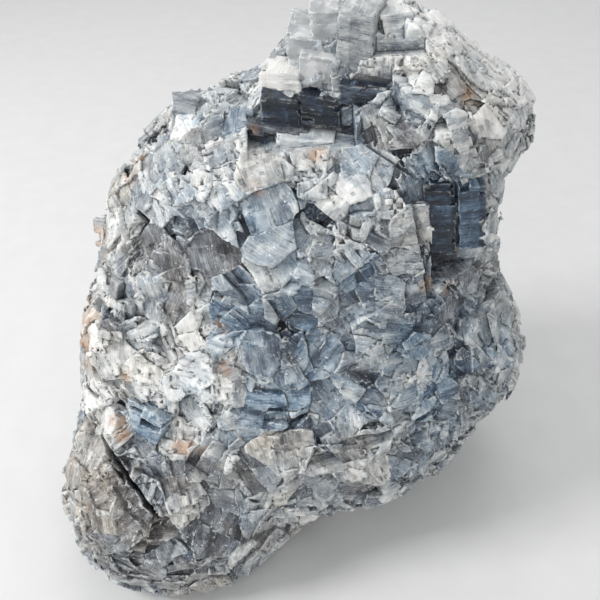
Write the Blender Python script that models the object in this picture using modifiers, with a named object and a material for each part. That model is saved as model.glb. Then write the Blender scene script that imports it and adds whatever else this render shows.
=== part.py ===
"""A chunk of blue calcite, broken from its vein: one solid of intergrown cleavage crystals.

The chunk stands on a flat broken face. Its front looks along -Y, its crown is at the top right and its
foot at the lower left. Everything is worked out in millimetres and written to the mesh in metres.
"""
import bpy
import bmesh
import math
import numpy as np
from mathutils import Matrix, Vector

MM = 0.001
NODE_NAME = "calcite_chunk"
COLLECTION_NAME = "blue_calcite"

# Calcite breaks on three planes whose normals stand 74.9 degrees apart
CLEAVAGE_ANGLE = math.radians(74.9)

# The rounded masses that the chunk is made of: centre, half sizes, roll about Y
LOBES = {
    "body": ((2, 22, 84), (58, 44, 71), 8),
    "back": ((4, 52, 76), (54, 34, 64), 6),
    "base": ((-2, 32, 16), (42, 34, 22), 0),
    "crown": ((29, 49, 160), (27, 22, 23.2), 0),
    "shoulder": ((57.5, 46, 150), (25, 22, 14), 14),
    "left_top": ((-32.5, 43, 130.5), (31, 28, 19.6), -34),
    "left_side": ((-58.5, 22, 67), (25.5, 30, 39), 8),
    "right_side": ((52, 34, 104), (17, 26, 34), 0),
    "right_bulge": ((58, 21, 62), (26.6, 29, 23.5), 0),
    "belly": ((0, -6, 46), (38, 27, 30), 0),
    "low_right": ((36, 4, 43), (19, 21, 16.6), 0),
    "left_foot": ((-59, -14, 34), (32, 28, 27.5), 0),
    "toe": ((-48, -34, 20), (30.5, 17, 21.5), 6),
}
LOBE_SQUARENESS = 2.4
LOBE_BLEND = 7.0
FORM_INSET = 1.6
BODY_LEAN = math.radians(-12)

# Broken-out places: centre and half sizes
HOLLOWS = {
    "right_waist": ((66, -4, 122), (20, 11, 24)),
    "below_crown": ((2, 12, 168), (22, 6, 5)),
    "stepped_recess": ((-1, -18, 108), (5, 7, 8)),
    "layered_recess": ((-12, -28, 77), (12, 5, 4)),
    "upper_slot": ((7, -5, 138), (3.5, 6, 6)),
    "left_pit": ((-57, -4, 103), (4, 5, 5)),
    "foot_notch": ((-16, -48, 8), (11, 10, 15)),
    "back_scar": ((-24, 92, 96), (26, 9, 30)),
    "back_step": ((34, 90, 58), (24, 8, 20)),
}
HOLLOW_BLEND = 2.5

# Crystal grains: spacing of their centres, how far their faces turn from the chunk's own surface,
# and the thickness of their cleavage steps along and across that surface
GRAIN_SPACING = 18.0
GRAIN_JITTER = 0.42
GRAIN_TILT = 0.34
STEP_HEIGHT = (1.4, 3.6)
STEP_WIDTH = (6.0, 17.0)
STEP_UNEVENNESS = 0.4
SCATTER_BOX = ((-112, -74, -8), (112, 112, 204))
GRAIN_PROUD = 1.6
CELL_PROUD = 1.0
RANDOM_SEED = 7

# Grains that stand out: centre, facing (turn to the right, tilt up), spin, steps (height, width, length)
LEADING_GRAINS = {
    "top_facet": ((-11, 8, 149), (-4, 50), 20, (4, 15, 20)),
    "great_plate": ((-8, 0, 139), (-6, 30), 12, (5, 16, 22)),
    "round_lump": ((-7, -5, 131), (-10, 28), 60, (5, 14, 14)),
    "pale_plates": ((13, 0, 140), (12, 34), -32, (3, 5, 14)),
    "left_fibres": ((-37, 15, 144), (-34, 34), 48, (3, 4, 22)),
    "left_fibres_low": ((-46, 8, 130), (-34, 30), 44, (3, 4, 22)),
    "smoky_patch": ((-26, -4, 126), (-20, 26), 30, (5, 12, 14)),
    "brown_facet": ((-39, -5, 112), (-24, 22), -20, (5, 12, 14)),
    "long_prisms": ((-24, -12, 108), (-14, 14), 76, (4, 4, 22)),
    "big_blue_facets": ((-12, -16, 97), (-6, 12), 18, (6, 16, 20)),
    "layered_ledges": ((-12, -22, 78), (-6, 40), 6, (2.4, 14, 22)),
    "saddle": ((30, -12, 102), (14, 12), 8, (7, 18, 26)),
    "slanting_plates": ((44, -6, 108), (26, 14), 28, (4, 3, 22)),
    "waist_window": ((50, 4, 126), (18, 10), 4, (6, 16, 26)),
    "waist_window_low": ((49, 1, 112), (20, 8), 4, (3, 8, 18)),
    "bulge_prisms": ((61, -3, 84), (32, 22), 34, (4, 7, 18)),
    "bulge_face": ((66, -6, 66), (34, 6), -20, (5, 9, 12)),
    "foot_slab": ((-36, -42, 38), (8, 34), -38, (2.6, 5, 24)),
    "foot_cap": ((-48, -32, 52), (2, 58), 15, (5, 16, 18)),
    "foot_ribs": ((-62, -46, 28), (-12, 6), 84, (3, 4, 22)),
    "shoulder_ridges": ((46, 30, 174), (12, 44), 36, (3, 5, 22)),
    "shoulder_cluster": ((60, 18, 149), (20, 20), 12, (5, 8, 10)),
}
LEADING_PULL = 30.0

# Places where slabs have broken off in front of the crown and the waist: centre and edges
CLEARINGS = {
    "before_windows": ((3.5, -7, 182), (34, 60, 50)),
    "before_crown": ((8, 0, 190), (50, 56, 46)),
    "before_clear_block": ((14, 4, 198), (60, 60, 46)),
    "before_waist": ((56, -20, 130), (26, 50, 34)),
}

# Blocks that stand clear of the rest: centre, edges (across, deep, high), facing (turn, tilt), spin
BLOCKS = {
    "crown_clear": ((10.2, 44, 176), (17, 20, 10.4), (6, 4), 2),
    "crown_clear_top": ((14, 45, 183.5), (9.6, 16, 9), (6, 6), 8),
    "crown_plate": ((12, 38, 172), (12.5, 18, 9.5), (2, 8), 0),
    "crown_white": ((-0.3, 33, 168.4), (13.2, 12, 9), (-6, 10), 4),
    "crown_middle": ((24.5, 40, 178.5), (12, 20, 20), (-3, 10), -3),
    "crown_column": ((16.5, 32, 167.5), (4, 12, 8), (4, 2), 0),
    "window_left": ((-1, 31, 162), (12.5, 18, 11), (3, 4), 1),
    "window_right": ((12, 32, 162), (13.5, 18, 9), (-2, 5), 1),
    "window_ledge": ((-2, 28, 156.5), (20, 18, 3.5), (-4, 8), -2),
    "window_sill": ((6, 24, 153), (19, 16, 4), (6, 14), 2),
    "dark_slab": ((25.7, 32, 166), (15, 18, 6), (-2, 6), 3),
    "crown_right": ((37, 45, 177), (11, 18, 16), (14, 18), 10),
    "crown_ridge": ((42, 39, 163), (8, 18, 22), (18, 18), 8),
    "pocket_crystal": ((60, 32, 158), (13, 13, 11), (22, 30), 16),
    "shoulder_edge": ((67, 44, 150), (13, 18, 11), (34, 38), 14),
    "shoulder_foot": ((57, 26, 145), (12, 14, 8), (16, 20), 6),
    "waist_window_left": ((47.5, 13, 130), (11, 16, 24), (10, 8), 3),
    "waist_window_right": ((57.5, 15, 129), (10.5, 16, 23), (18, 6), 3),
    "left_top_block": ((-28.5, 44, 153), (15, 16, 13), (-20, 34), 6),
    "left_edge_block": ((-62.5, 32, 112), (13, 16, 17), (-40, 24), 20),
    "left_low_block": ((-75, 14, 66), (13, 18, 16), (-46, 20), 12),
    "bulge_block": ((72.5, 18, 70), (14, 18, 14), (40, 16), 22),
    "foot_outer_block": ((-78, -8, 39), (15, 20, 16), (-44, 20), 10),
    "back_block": ((20, 78, 108), (20, 16, 24), (172, 12), 8),
    "back_low_block": ((-26, 77, 52), (24, 16, 20), (188, 10), 14),
    "back_top_block": ((-22, 62, 132), (18, 18, 15), (196, 38), 24),
}

# Long open cracks: ends, width, depth; a crack's floor is narrower than its mouth
CRACK_FLOOR = 0.2
CRACKS = {
    "foot_groove": ((-75, -17, 62), (-49, -48, 42), 3.6, 5.0),
    "crown_crack": ((20, 13, 158), (41, 5, 145), 3.2, 4.5),
    "waist_crack": ((38, 2, 140), (43, -9, 108), 3.4, 5.0),
}

# Mesh: the working skin's grid, how far its points may move, and the triangles that are kept
SKIN_ROUNDNESS = 4
SLOPE_PROBE = 0.5
SETTLE_PASSES = 3
SETTLE_STEP = 0.8
HALVINGS = 10
CELL_MARGIN = 0.001
SKIN_GRID = 1.7
CARVE_REACH = 7.0
CARVE_STEP = 0.35
SHARPEN_PASSES = 3
SHARPEN_HOLD = 0.12
SHARPEN_REACH = 0.9
CLEAN_GRID = 1.3
TRIANGLE_BUDGET = 9000
REST_HEIGHT = 1.2
GROUND_REACH = 300.0
FLATNESS = 0.25


def clear_scene():
    """Remove every object so that the script can be run again."""
    for thing in list(bpy.data.objects):
        bpy.data.objects.remove(thing, do_unlink=True)


def make_collection(name):
    """A new collection in the scene."""
    collection = bpy.data.collections.new(name)
    bpy.context.scene.collection.children.link(collection)
    return collection


def lobe_turn(name):
    """The rotation of one rounded mass."""
    turn = Matrix.Rotation(math.radians(LOBES[name][2]), 3, "Y")
    if name == "body":
        turn = Matrix.Rotation(BODY_LEAN, 3, "X") @ turn
    return turn


def oval_depth(points, centre, half, turn, squareness):
    """Rough distance of points outside a squared-off oval, in millimetres."""
    local = (points - np.array(centre, float)) @ np.array(turn) / np.array(half, float)
    reach = (np.abs(local) ** squareness).sum(axis=1) ** (1 / squareness)
    return (reach - 1) * min(half)


def form_depth(points):
    """Distance of points outside the chunk's smooth form, with its hollows, in millimetres."""
    blend = np.zeros(len(points))
    for name, (centre, half, _) in LOBES.items():
        depth = oval_depth(points, centre, half, lobe_turn(name), LOBE_SQUARENESS)
        blend += np.exp(-np.clip(depth, -300, 900) / LOBE_BLEND)
    solid = FORM_INSET - LOBE_BLEND * np.log(blend + 1e-300)
    keep = np.exp(np.clip(solid / HOLLOW_BLEND, -80, 80))
    for centre, half in HOLLOWS.values():
        depth = oval_depth(points, centre, half, np.eye(3), 2.0)
        keep += np.exp(np.clip(-depth / HOLLOW_BLEND, -80, 80))
    return HOLLOW_BLEND * np.log(keep)


def form_slope(points):
    """Outward direction of the smooth form at each point."""
    probe = np.eye(3) * SLOPE_PROBE
    slope = [form_depth(points + step) - form_depth(points - step) for step in probe]
    slope = np.stack(slope, axis=1)
    return slope / np.linalg.norm(slope, axis=1, keepdims=True)


def facing_vector(turn, tilt):
    """Direction from a turn to the right of the front and a tilt upwards, in degrees."""
    turn, tilt = math.radians(turn), math.radians(tilt)
    return Vector((math.sin(turn) * math.cos(tilt), -math.cos(turn) * math.cos(tilt), math.sin(tilt)))


def cleavage_normals(facing, spin):
    """The three cleavage normals of a crystal that shows one face in the facing direction."""
    out = Vector(facing).normalized()
    side = Vector((0, 0, 1)).cross(out)
    side = Vector((1, 0, 0)) if side.length < 0.05 else side.normalized()
    side.rotate(Matrix.Rotation(spin, 3, out))
    up = out.cross(side)
    lean, spread = math.cos(CLEAVAGE_ANGLE), math.sin(CLEAVAGE_ANGLE)
    across = (lean - lean * lean) / spread
    along = math.sqrt(1 - across * across - lean * lean)
    return out, side * spread + out * lean, side * across + up * along + out * lean


def scatter_grains():
    """Centres, cleavage normals, step sizes and heights of all crystal grains."""
    rng = np.random.default_rng(RANDOM_SEED)
    ticks = [np.arange(low, high, GRAIN_SPACING) for low, high in zip(*SCATTER_BOX)]
    seeds = np.stack(np.meshgrid(*ticks, indexing="ij"), axis=-1).reshape(-1, 3)
    seeds += rng.uniform(-GRAIN_JITTER, GRAIN_JITTER, seeds.shape) * GRAIN_SPACING
    lean = rng.normal(0, GRAIN_TILT, seeds.shape)
    spins = rng.uniform(0, math.tau, len(seeds))
    heights = rng.uniform(*STEP_HEIGHT, len(seeds))
    widths = rng.uniform(*STEP_WIDTH, (len(seeds), 2))
    near = np.abs(form_depth(seeds)) < GRAIN_SPACING
    seeds = seeds[near]
    facings = form_slope(seeds) + lean[near]
    normals = [cleavage_normals(Vector(out), spin) for out, spin in zip(facings, spins[near])]
    steps = [(height, *width) for height, width in zip(heights[near], widths[near])]
    pull = [0.0] * len(seeds)
    for centre, (turn, tilt), spin, step in LEADING_GRAINS.values():
        seeds = np.vstack([seeds, centre])
        normals.append(cleavage_normals(facing_vector(turn, tilt), math.radians(spin)))
        steps.append(step)
        pull.append(LEADING_PULL)
    proud = rng.uniform(-GRAIN_PROUD, GRAIN_PROUD, len(seeds))
    return {
        "seed": seeds,
        "normal": np.array([[tuple(n) for n in trio] for trio in normals]),
        "step": np.array(steps, float),
        "pull": np.array(pull),
        "proud": proud,
    }


def lottery(*keys):
    """A repeatable random value between 0 and 1 for whole-number keys."""
    mix = np.zeros(np.shape(keys[0]))
    for key, weight in zip(keys, (12.9898, 78.233, 37.719, 53.141, 91.337)):
        mix = mix + np.asarray(key) * weight
    return np.modf(np.abs(np.sin(mix) * 43758.5453))[0]


def nearest_grain(points, grains):
    """Index of the grain that each point lies in."""
    best = np.full(len(points), np.inf)
    owner = np.zeros(len(points), int)
    for index, (seed, pull) in enumerate(zip(grains["seed"], grains["pull"])):
        gap = ((points - seed) ** 2).sum(axis=1) - pull
        closer = gap < best
        best[closer] = gap[closer]
        owner[closer] = index
    return owner


def step_planes(position, owner, family, step):
    """The cleavage planes below and above each position along one family of planes."""
    count = np.floor(position / step)

    def plane(number):
        return (number + STEP_UNEVENNESS * lottery(number, owner, np.full(len(owner), family))) * step

    count = count - (position < plane(count))
    return plane(count), plane(count + 1), count


def crystal_depth(points, owner, grains):
    """Distance outside the broken crystal surface, and the cell of cleavage planes each point is in."""
    normal = grains["normal"][owner]
    seed = grains["seed"][owner]
    step = grains["step"][owner]
    place = np.einsum("pkc,pc->pk", normal, points - seed)
    middle = np.empty_like(place)
    cell = np.empty_like(place)
    for family in range(3):
        low, high, count = step_planes(place[:, family], owner, family, step[:, family])
        middle[:, family] = (low + high) / 2
        cell[:, family] = count
    centre = seed + np.einsum("pck,pk->pc", np.linalg.inv(normal), middle)
    rough = lottery(cell[:, 0], cell[:, 1], cell[:, 2], owner) - 0.5
    return form_depth(centre) + grains["proud"][owner] + 2 * CELL_PROUD * rough, cell


def carve(skin, grains):
    """Move the skin's points onto the cleavage planes where the crystals end."""
    points = np.empty(len(skin.vertices) * 3)
    skin.vertices.foreach_get("co", points)
    points = points.reshape(-1, 3) / MM
    outward = form_slope(points)
    for _ in range(SETTLE_PASSES):
        points -= outward * form_depth(points)[:, None] * SETTLE_STEP
    owner = nearest_grain(points, grains)
    levels = np.arange(-CARVE_REACH, CARVE_REACH, CARVE_STEP)
    inside = np.empty((len(levels), len(points)), bool)
    for row, level in enumerate(levels):
        inside[row] = crystal_depth(points + outward * level, owner, grains)[0] < 0
    leaves = inside[:-1] & ~inside[1:]
    far = np.where(leaves, np.abs(levels[:-1])[:, None], 1e6)
    row = far.argmin(axis=0)
    found = leaves.any(axis=0)
    low = np.where(found, levels[row], 0.0)
    high = low + np.where(found, CARVE_STEP, 0.0)
    for _ in range(HALVINGS):
        middle = (low + high) / 2
        still = crystal_depth(points + outward * middle[:, None], owner, grains)[0] < 0
        low = np.where(still, middle, low)
        high = np.where(still, high, middle)
    _, cell_in = crystal_depth(points + outward * (low - CELL_MARGIN)[:, None], owner, grains)
    _, cell_out = crystal_depth(points + outward * (high + CELL_MARGIN)[:, None], owner, grains)
    family = np.abs(cell_out - cell_in).argmax(axis=1)
    facet = grains["normal"][owner, family]
    moved = points + outward * ((low + high) / 2)[:, None]
    moved = sharpen(skin, moved, facet, found)
    skin.vertices.foreach_set("co", (moved * MM).ravel())
    skin.update()


def sharpen(skin, points, facet, found):
    """Pull points near a crystal edge onto the meeting line of the planes around them."""
    ends = np.empty(len(skin.edges) * 2, int)
    skin.edges.foreach_get("vertices", ends)
    ends = ends.reshape(-1, 2)
    pairs = np.vstack([ends, ends[:, ::-1], np.repeat(np.arange(len(points)), 2).reshape(-1, 2)])
    pairs = pairs[found[pairs[:, 1]]]
    base = points.copy()
    normal = facet[pairs[:, 1]]
    outer = np.einsum("pi,pj->pij", normal, normal)
    level = np.einsum("pi,pi->p", normal, base[pairs[:, 1]])
    matrix = np.tile(np.eye(3) * SHARPEN_HOLD, (len(points), 1, 1))
    np.add.at(matrix, pairs[:, 0], outer)
    target = np.zeros_like(points)
    np.add.at(target, pairs[:, 0], normal * level[:, None])
    for _ in range(SHARPEN_PASSES):
        wanted = np.linalg.solve(matrix, (target + SHARPEN_HOLD * points)[:, :, None])[:, :, 0]
        shift = wanted - base
        size = np.linalg.norm(shift, axis=1, keepdims=True)
        points = base + shift * np.minimum(1, SHARPEN_REACH * SKIN_GRID / np.maximum(size, CELL_MARGIN))
    return points


def make_skin():
    """One closed, evenly meshed skin round all the rounded masses."""
    grid = bmesh.new()
    for name, (centre, half, _) in LOBES.items():
        place = Matrix.Translation(Vector(centre) * MM) @ lobe_turn(name).to_4x4()
        ball = bmesh.ops.create_icosphere(grid, subdivisions=SKIN_ROUNDNESS, radius=1.0)
        for vert in ball["verts"]:
            reach = sum(abs(c) ** LOBE_SQUARENESS for c in vert.co) ** (1 / LOBE_SQUARENESS)
            grown = [c / reach * (h + LOBE_BLEND / 2) * MM for c, h in zip(vert.co, half)]
            vert.co = place @ Vector(grown)
    mesh = bpy.data.meshes.new(NODE_NAME)
    grid.to_mesh(mesh)
    grid.free()
    chunk = bpy.data.objects.new(NODE_NAME, mesh)
    return chunk


def remesh(chunk, grid):
    """Mesh an object's whole outside anew, as one closed skin."""
    modifier = chunk.modifiers.new("even_skin", "REMESH")
    modifier.mode = "VOXEL"
    modifier.voxel_size = grid * MM
    apply_modifiers(chunk)


def apply_modifiers(thing):
    """Replace an object's mesh by what its modifiers make of it."""
    graph = bpy.context.evaluated_depsgraph_get()
    mesh = bpy.data.meshes.new_from_object(thing.evaluated_get(graph))
    thing.modifiers.clear()
    thing.data = mesh


def block_shape(name):
    """A calcite rhomb that grows out of the chunk."""
    centre, edges, (turn, tilt), spin = BLOCKS[name]
    front, right, top = cleavage_normals(facing_vector(turn, tilt), math.radians(spin))
    across = (front.cross(top)).normalized() * edges[0]
    deep = (right.cross(top)).normalized() * edges[1]
    high = (front.cross(right)).normalized() * edges[2]
    frame = Matrix((across, deep, high)).transposed() * MM
    return cube_shape(name, lambda spot: frame @ spot + Vector(centre) * MM)


def clearing_shape(name):
    """A box where a slab has broken off."""
    centre, edges = CLEARINGS[name]
    return cube_shape(name, lambda spot: Vector([(c + s * e) * MM for c, s, e in zip(centre, spot, edges)]))


def blade_shape(name):
    """A thin wedge that cuts a crack into the surface."""
    start, end, width, depth = CRACKS[name]
    start, end = Vector(start), Vector(end)
    along = (end - start).normalized()
    middle = (start + end) / 2
    outward = Vector(form_slope(np.array([tuple(middle)]))[0])
    side = along.cross(outward).normalized()

    def place(spot):
        across = width * (2.0 if spot.z > 0 else CRACK_FLOOR)
        reach = along * (spot.x * (end - start).length) + side * (spot.y * across)
        return (middle + reach + outward * (2 * spot.z * depth)) * MM

    return cube_shape(name, place)


def ground_shape():
    """Everything below the flat face that the chunk rests on."""
    drop = Vector((0, 0, REST_HEIGHT - GROUND_REACH / 2))
    return cube_shape("ground", lambda spot: (spot * GROUND_REACH + drop) * MM)


def cube_shape(name, place):
    """A working shape: a cube of edge one whose corners are moved by a rule."""
    grid = bmesh.new()
    bmesh.ops.create_cube(grid, size=1.0)
    for vert in grid.verts:
        vert.co = place(vert.co.copy())
    bmesh.ops.recalc_face_normals(grid, faces=grid.faces)
    mesh = bpy.data.meshes.new(name)
    grid.to_mesh(mesh)
    grid.free()
    shape = bpy.data.objects.new(name, mesh)
    shape.hide_render = True
    shape.display_type = "WIRE"
    return shape


def combine(chunk, shapes, operation, collection):
    """Cut each shape out of the chunk, or join it on."""
    for shape in shapes:
        collection.objects.link(shape)
        boolean = chunk.modifiers.new(shape.name, "BOOLEAN")
        boolean.operation = operation
        boolean.solver = "MANIFOLD"
        boolean.object = shape
    apply_modifiers(chunk)


def thin_out(chunk):
    """Keep the flat facets and drop the points that lie within them."""
    chunk.data.calc_loop_triangles()
    decimate = chunk.modifiers.new("flat_facets", "DECIMATE")
    decimate.ratio = TRIANGLE_BUDGET / len(chunk.data.loop_triangles)
    decimate.use_collapse_triangulate = True
    apply_modifiers(chunk)


def keep_main_body(chunk):
    """Drop splinters that the cuts have left loose."""
    grid = bmesh.new()
    grid.from_mesh(chunk.data)
    left = set(grid.verts)
    bodies = []
    while left:
        body = {left.pop()}
        front = list(body)
        while front:
            near = {edge.other_vert(vert) for vert in front for edge in vert.link_edges}
            front = list(near - body)
            body |= near
        left -= body
        bodies.append(body)
    bodies.sort(key=len)
    for body in bodies[:-1]:
        bmesh.ops.delete(grid, geom=list(body), context="VERTS")
    grid.to_mesh(chunk.data)
    grid.free()


def drop_flaps(chunk):
    """Remove the loose flaps that thinning can leave at the tip of a crack."""
    grid = bmesh.new()
    grid.from_mesh(chunk.data)
    flaps = [face for face in grid.faces if any(len(edge.link_faces) == 1 for edge in face.edges)]
    while flaps:
        bmesh.ops.delete(grid, geom=flaps, context="FACES")
        flaps = [face for face in grid.faces if any(len(edge.link_faces) == 1 for edge in face.edges)]
    grid.to_mesh(chunk.data)
    grid.free()


def stand_at_origin(chunk):
    """Flatten the resting face at height zero, with the middle of the chunk's box over the origin."""
    spots = np.array([tuple(vert.co) for vert in chunk.data.vertices])
    middle = (spots.min(axis=0) + spots.max(axis=0)) / 2
    shift = Vector((-middle[0], -middle[1], -REST_HEIGHT * MM))
    for vert in chunk.data.vertices:
        vert.co += shift
        if vert.co.z < FLATNESS * MM:
            vert.co.z = 0.0
    return shift


def calcite_material():
    """Grey-blue calcite with the dull gloss of cleavage faces."""
    material = bpy.data.materials.new("blue_calcite")
    material.use_nodes = True
    shader = material.node_tree.nodes["Principled BSDF"]
    shader.inputs["Base Color"].default_value = (0.36, 0.43, 0.50, 1.0)
    shader.inputs["Roughness"].default_value = 0.38
    shader.inputs["Metallic"].default_value = 0.0
    return material


def build():
    """Model the whole chunk."""
    clear_scene()
    parts = make_collection(COLLECTION_NAME)
    cutters = make_collection("cutters")
    chunk = make_skin()
    parts.objects.link(chunk)
    remesh(chunk, SKIN_GRID)
    carve(chunk.data, scatter_grains())
    remesh(chunk, CLEAN_GRID)
    keep_main_body(chunk)
    combine(chunk, [clearing_shape(name) for name in CLEARINGS], "DIFFERENCE", cutters)
    combine(chunk, [block_shape(name) for name in BLOCKS], "UNION", cutters)
    combine(chunk, [blade_shape(name) for name in CRACKS], "DIFFERENCE", cutters)
    keep_main_body(chunk)
    thin_out(chunk)
    drop_flaps(chunk)
    combine(chunk, [ground_shape()], "DIFFERENCE", cutters)
    keep_main_body(chunk)
    shift = stand_at_origin(chunk)
    chunk.data.materials.clear()
    chunk.data.materials.append(calcite_material())
    return shift


FORM_SHIFT = build()
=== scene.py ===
"""A chunk of blue calcite at full detail, laid out as a Blender add-on.

The chunk is one mass of grown-together crystals. Its skin is built from calcite's own three cleavage planes:
every grain is a stack of slabs and blocks cut along its planes, and the skin is where those blocks end.
Lengths in the tables below are millimetres in the chunk's growing frame; FORM_SHIFT moves them to the part.
"""
import math
from concurrent.futures import ThreadPoolExecutor

import bmesh
import bpy
import numpy as np
from bpy.props import FloatProperty, FloatVectorProperty, IntProperty, PointerProperty
from mathutils import Matrix, Vector


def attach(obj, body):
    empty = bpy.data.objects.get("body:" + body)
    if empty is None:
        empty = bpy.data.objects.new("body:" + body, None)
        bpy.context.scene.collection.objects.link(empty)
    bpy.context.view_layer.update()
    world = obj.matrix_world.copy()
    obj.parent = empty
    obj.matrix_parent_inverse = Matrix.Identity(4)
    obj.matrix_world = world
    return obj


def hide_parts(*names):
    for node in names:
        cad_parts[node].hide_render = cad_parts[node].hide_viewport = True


bl_info = {
    "name": "Blue calcite chunk",
    "version": (1, 0, 0),
    "blender": (4, 5, 0),
    "location": "3D View > Sidebar > Calcite",
    "description": "Builds the cleaved skin, clear crystals, chips and stage of a blue calcite chunk",
    "category": "Add Mesh",
}

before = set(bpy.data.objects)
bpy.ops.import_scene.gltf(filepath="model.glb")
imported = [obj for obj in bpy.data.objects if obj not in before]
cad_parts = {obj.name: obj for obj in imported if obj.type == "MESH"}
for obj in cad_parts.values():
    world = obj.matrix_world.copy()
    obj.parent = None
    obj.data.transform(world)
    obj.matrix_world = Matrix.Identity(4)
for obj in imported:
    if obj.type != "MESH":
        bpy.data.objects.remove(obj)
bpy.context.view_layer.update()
NODE_NAME = "calcite_chunk"
MM = 0.001

# How the growing frame lies in the part's frame
FORM_SHIFT = np.array([4.3215, -17.6672, -1.2])

# Calcite breaks on three planes whose normals stand 74.9 degrees apart
CLEAVAGE_ANGLE = math.radians(74.9)

# The rounded masses that the chunk is made of: centre, half sizes, roll about Y
LOBES = {
    "body": ((2, 22, 84), (58, 44, 71), 8),
    "back": ((4, 52, 76), (54, 34, 64), 6),
    "base": ((-2, 32, 16), (42, 34, 22), 0),
    "crown": ((29, 49, 160), (27, 22, 23.2), 0),
    "shoulder": ((57.5, 46, 150), (25, 22, 14), 14),
    "left_top": ((-32.5, 43, 130.5), (31, 28, 19.6), -34),
    "left_side": ((-58.5, 22, 67), (25.5, 30, 39), 8),
    "right_side": ((52, 34, 104), (17, 26, 34), 0),
    "right_bulge": ((58, 21, 62), (26.6, 29, 23.5), 0),
    "belly": ((0, -6, 46), (38, 27, 30), 0),
    "low_right": ((36, 4, 43), (19, 21, 16.6), 0),
    "left_foot": ((-59, -14, 34), (32, 28, 27.5), 0),
    "toe": ((-48, -34, 20), (30.5, 17, 21.5), 6),
}
LOBE_SQUARENESS = 2.4
LOBE_BLEND = 7.0
FORM_INSET = 1.6
BODY_LEAN = math.radians(-12)

# Broken-out places: centre and half sizes
HOLLOWS = {
    "right_waist": ((66, -4, 122), (20, 11, 24)),
    "below_crown": ((2, 12, 168), (22, 6, 5)),
    "stepped_recess": ((-1, -18, 108), (5, 7, 8)),
    "layered_recess": ((-12, -28, 77), (12, 5, 4)),
    "upper_slot": ((7, -5, 138), (3.5, 6, 6)),
    "left_pit": ((-57, -4, 103), (4, 5, 5)),
    "foot_notch": ((-16, -48, 8), (11, 10, 15)),
    "back_scar": ((-24, 92, 96), (26, 9, 30)),
    "back_step": ((34, 90, 58), (24, 8, 20)),
}
HOLLOW_BLEND = 2.5

# Steps at which the slopes of the form and of its sampled copy are read
SLOPE_PROBE = 0.5
GRID_PROBE = 1.0

# Crystal grains: the same seeded scatter as in the solid, how far grains and their coarse blocks stand proud
GRAIN_SPACING = 18.0
GRAIN_JITTER = 0.42
GRAIN_TILT = 0.34
STEP_HEIGHT = (1.4, 3.6)
STEP_WIDTH = (6.0, 17.0)
STEP_UNEVENNESS = 0.4
SCATTER_BOX = ((-112, -74, -8), (112, 112, 204))
GRAIN_PROUD = 1.6
CELL_STEP = 4.0
RANDOM_SEED = 7

# Grains that stand out: centre, facing (turn to the right, tilt up), spin, steps (height, width, length)
LEADING_GRAINS = {
    "top_facet": ((-11, 8, 149), (-4, 50), 20, (4, 15, 20)),
    "great_plate": ((-8, 0, 139), (-6, 30), 12, (5, 16, 22)),
    "round_lump": ((-7, -5, 131), (-10, 28), 60, (5, 14, 14)),
    "pale_plates": ((13, 0, 140), (12, 34), -32, (3, 5, 14)),
    "left_fibres": ((-37, 15, 144), (-34, 34), 48, (3, 4, 22)),
    "left_fibres_low": ((-46, 8, 130), (-34, 30), 44, (3, 4, 22)),
    "smoky_patch": ((-26, -4, 126), (-20, 26), 30, (5, 12, 14)),
    "brown_facet": ((-39, -5, 112), (-24, 22), -20, (5, 12, 14)),
    "long_prisms": ((-24, -12, 108), (-14, 14), 76, (4, 4, 22)),
    "big_blue_facets": ((-12, -16, 97), (-6, 12), 18, (6, 16, 20)),
    "layered_ledges": ((-12, -22, 78), (-6, 40), 6, (2.4, 14, 22)),
    "saddle": ((30, -12, 102), (14, 12), 8, (7, 18, 26)),
    "slanting_plates": ((44, -6, 108), (26, 14), 28, (4, 3, 22)),
    "waist_window": ((50, 4, 126), (18, 10), 4, (6, 16, 26)),
    "waist_window_low": ((49, 1, 112), (20, 8), 4, (3, 8, 18)),
    "bulge_prisms": ((61, -3, 84), (32, 22), 34, (4, 7, 18)),
    "bulge_face": ((66, -6, 66), (34, 6), -20, (5, 9, 12)),
    "foot_slab": ((-36, -42, 38), (8, 34), -38, (2.6, 5, 24)),
    "foot_cap": ((-48, -32, 52), (2, 58), 15, (5, 16, 18)),
    "foot_ribs": ((-62, -46, 28), (-12, 6), 84, (3, 4, 22)),
    "shoulder_ridges": ((46, 30, 174), (12, 44), 36, (3, 5, 22)),
    "shoulder_cluster": ((60, 18, 149), (20, 20), 12, (5, 8, 10)),
}
LEADING_PULL = 30.0

# Places where slabs have broken off in front of the crown and the waist: centre and edges
CLEARINGS = {
    "before_windows": ((3.5, -6, 180), (34, 62, 54)),
    "before_crown": ((8, 0, 190), (50, 56, 46)),
    "before_clear_block": ((14, 4, 198), (60, 60, 46)),
    "before_waist": ((56, -18.5, 129), (26, 53, 36)),
}

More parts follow.
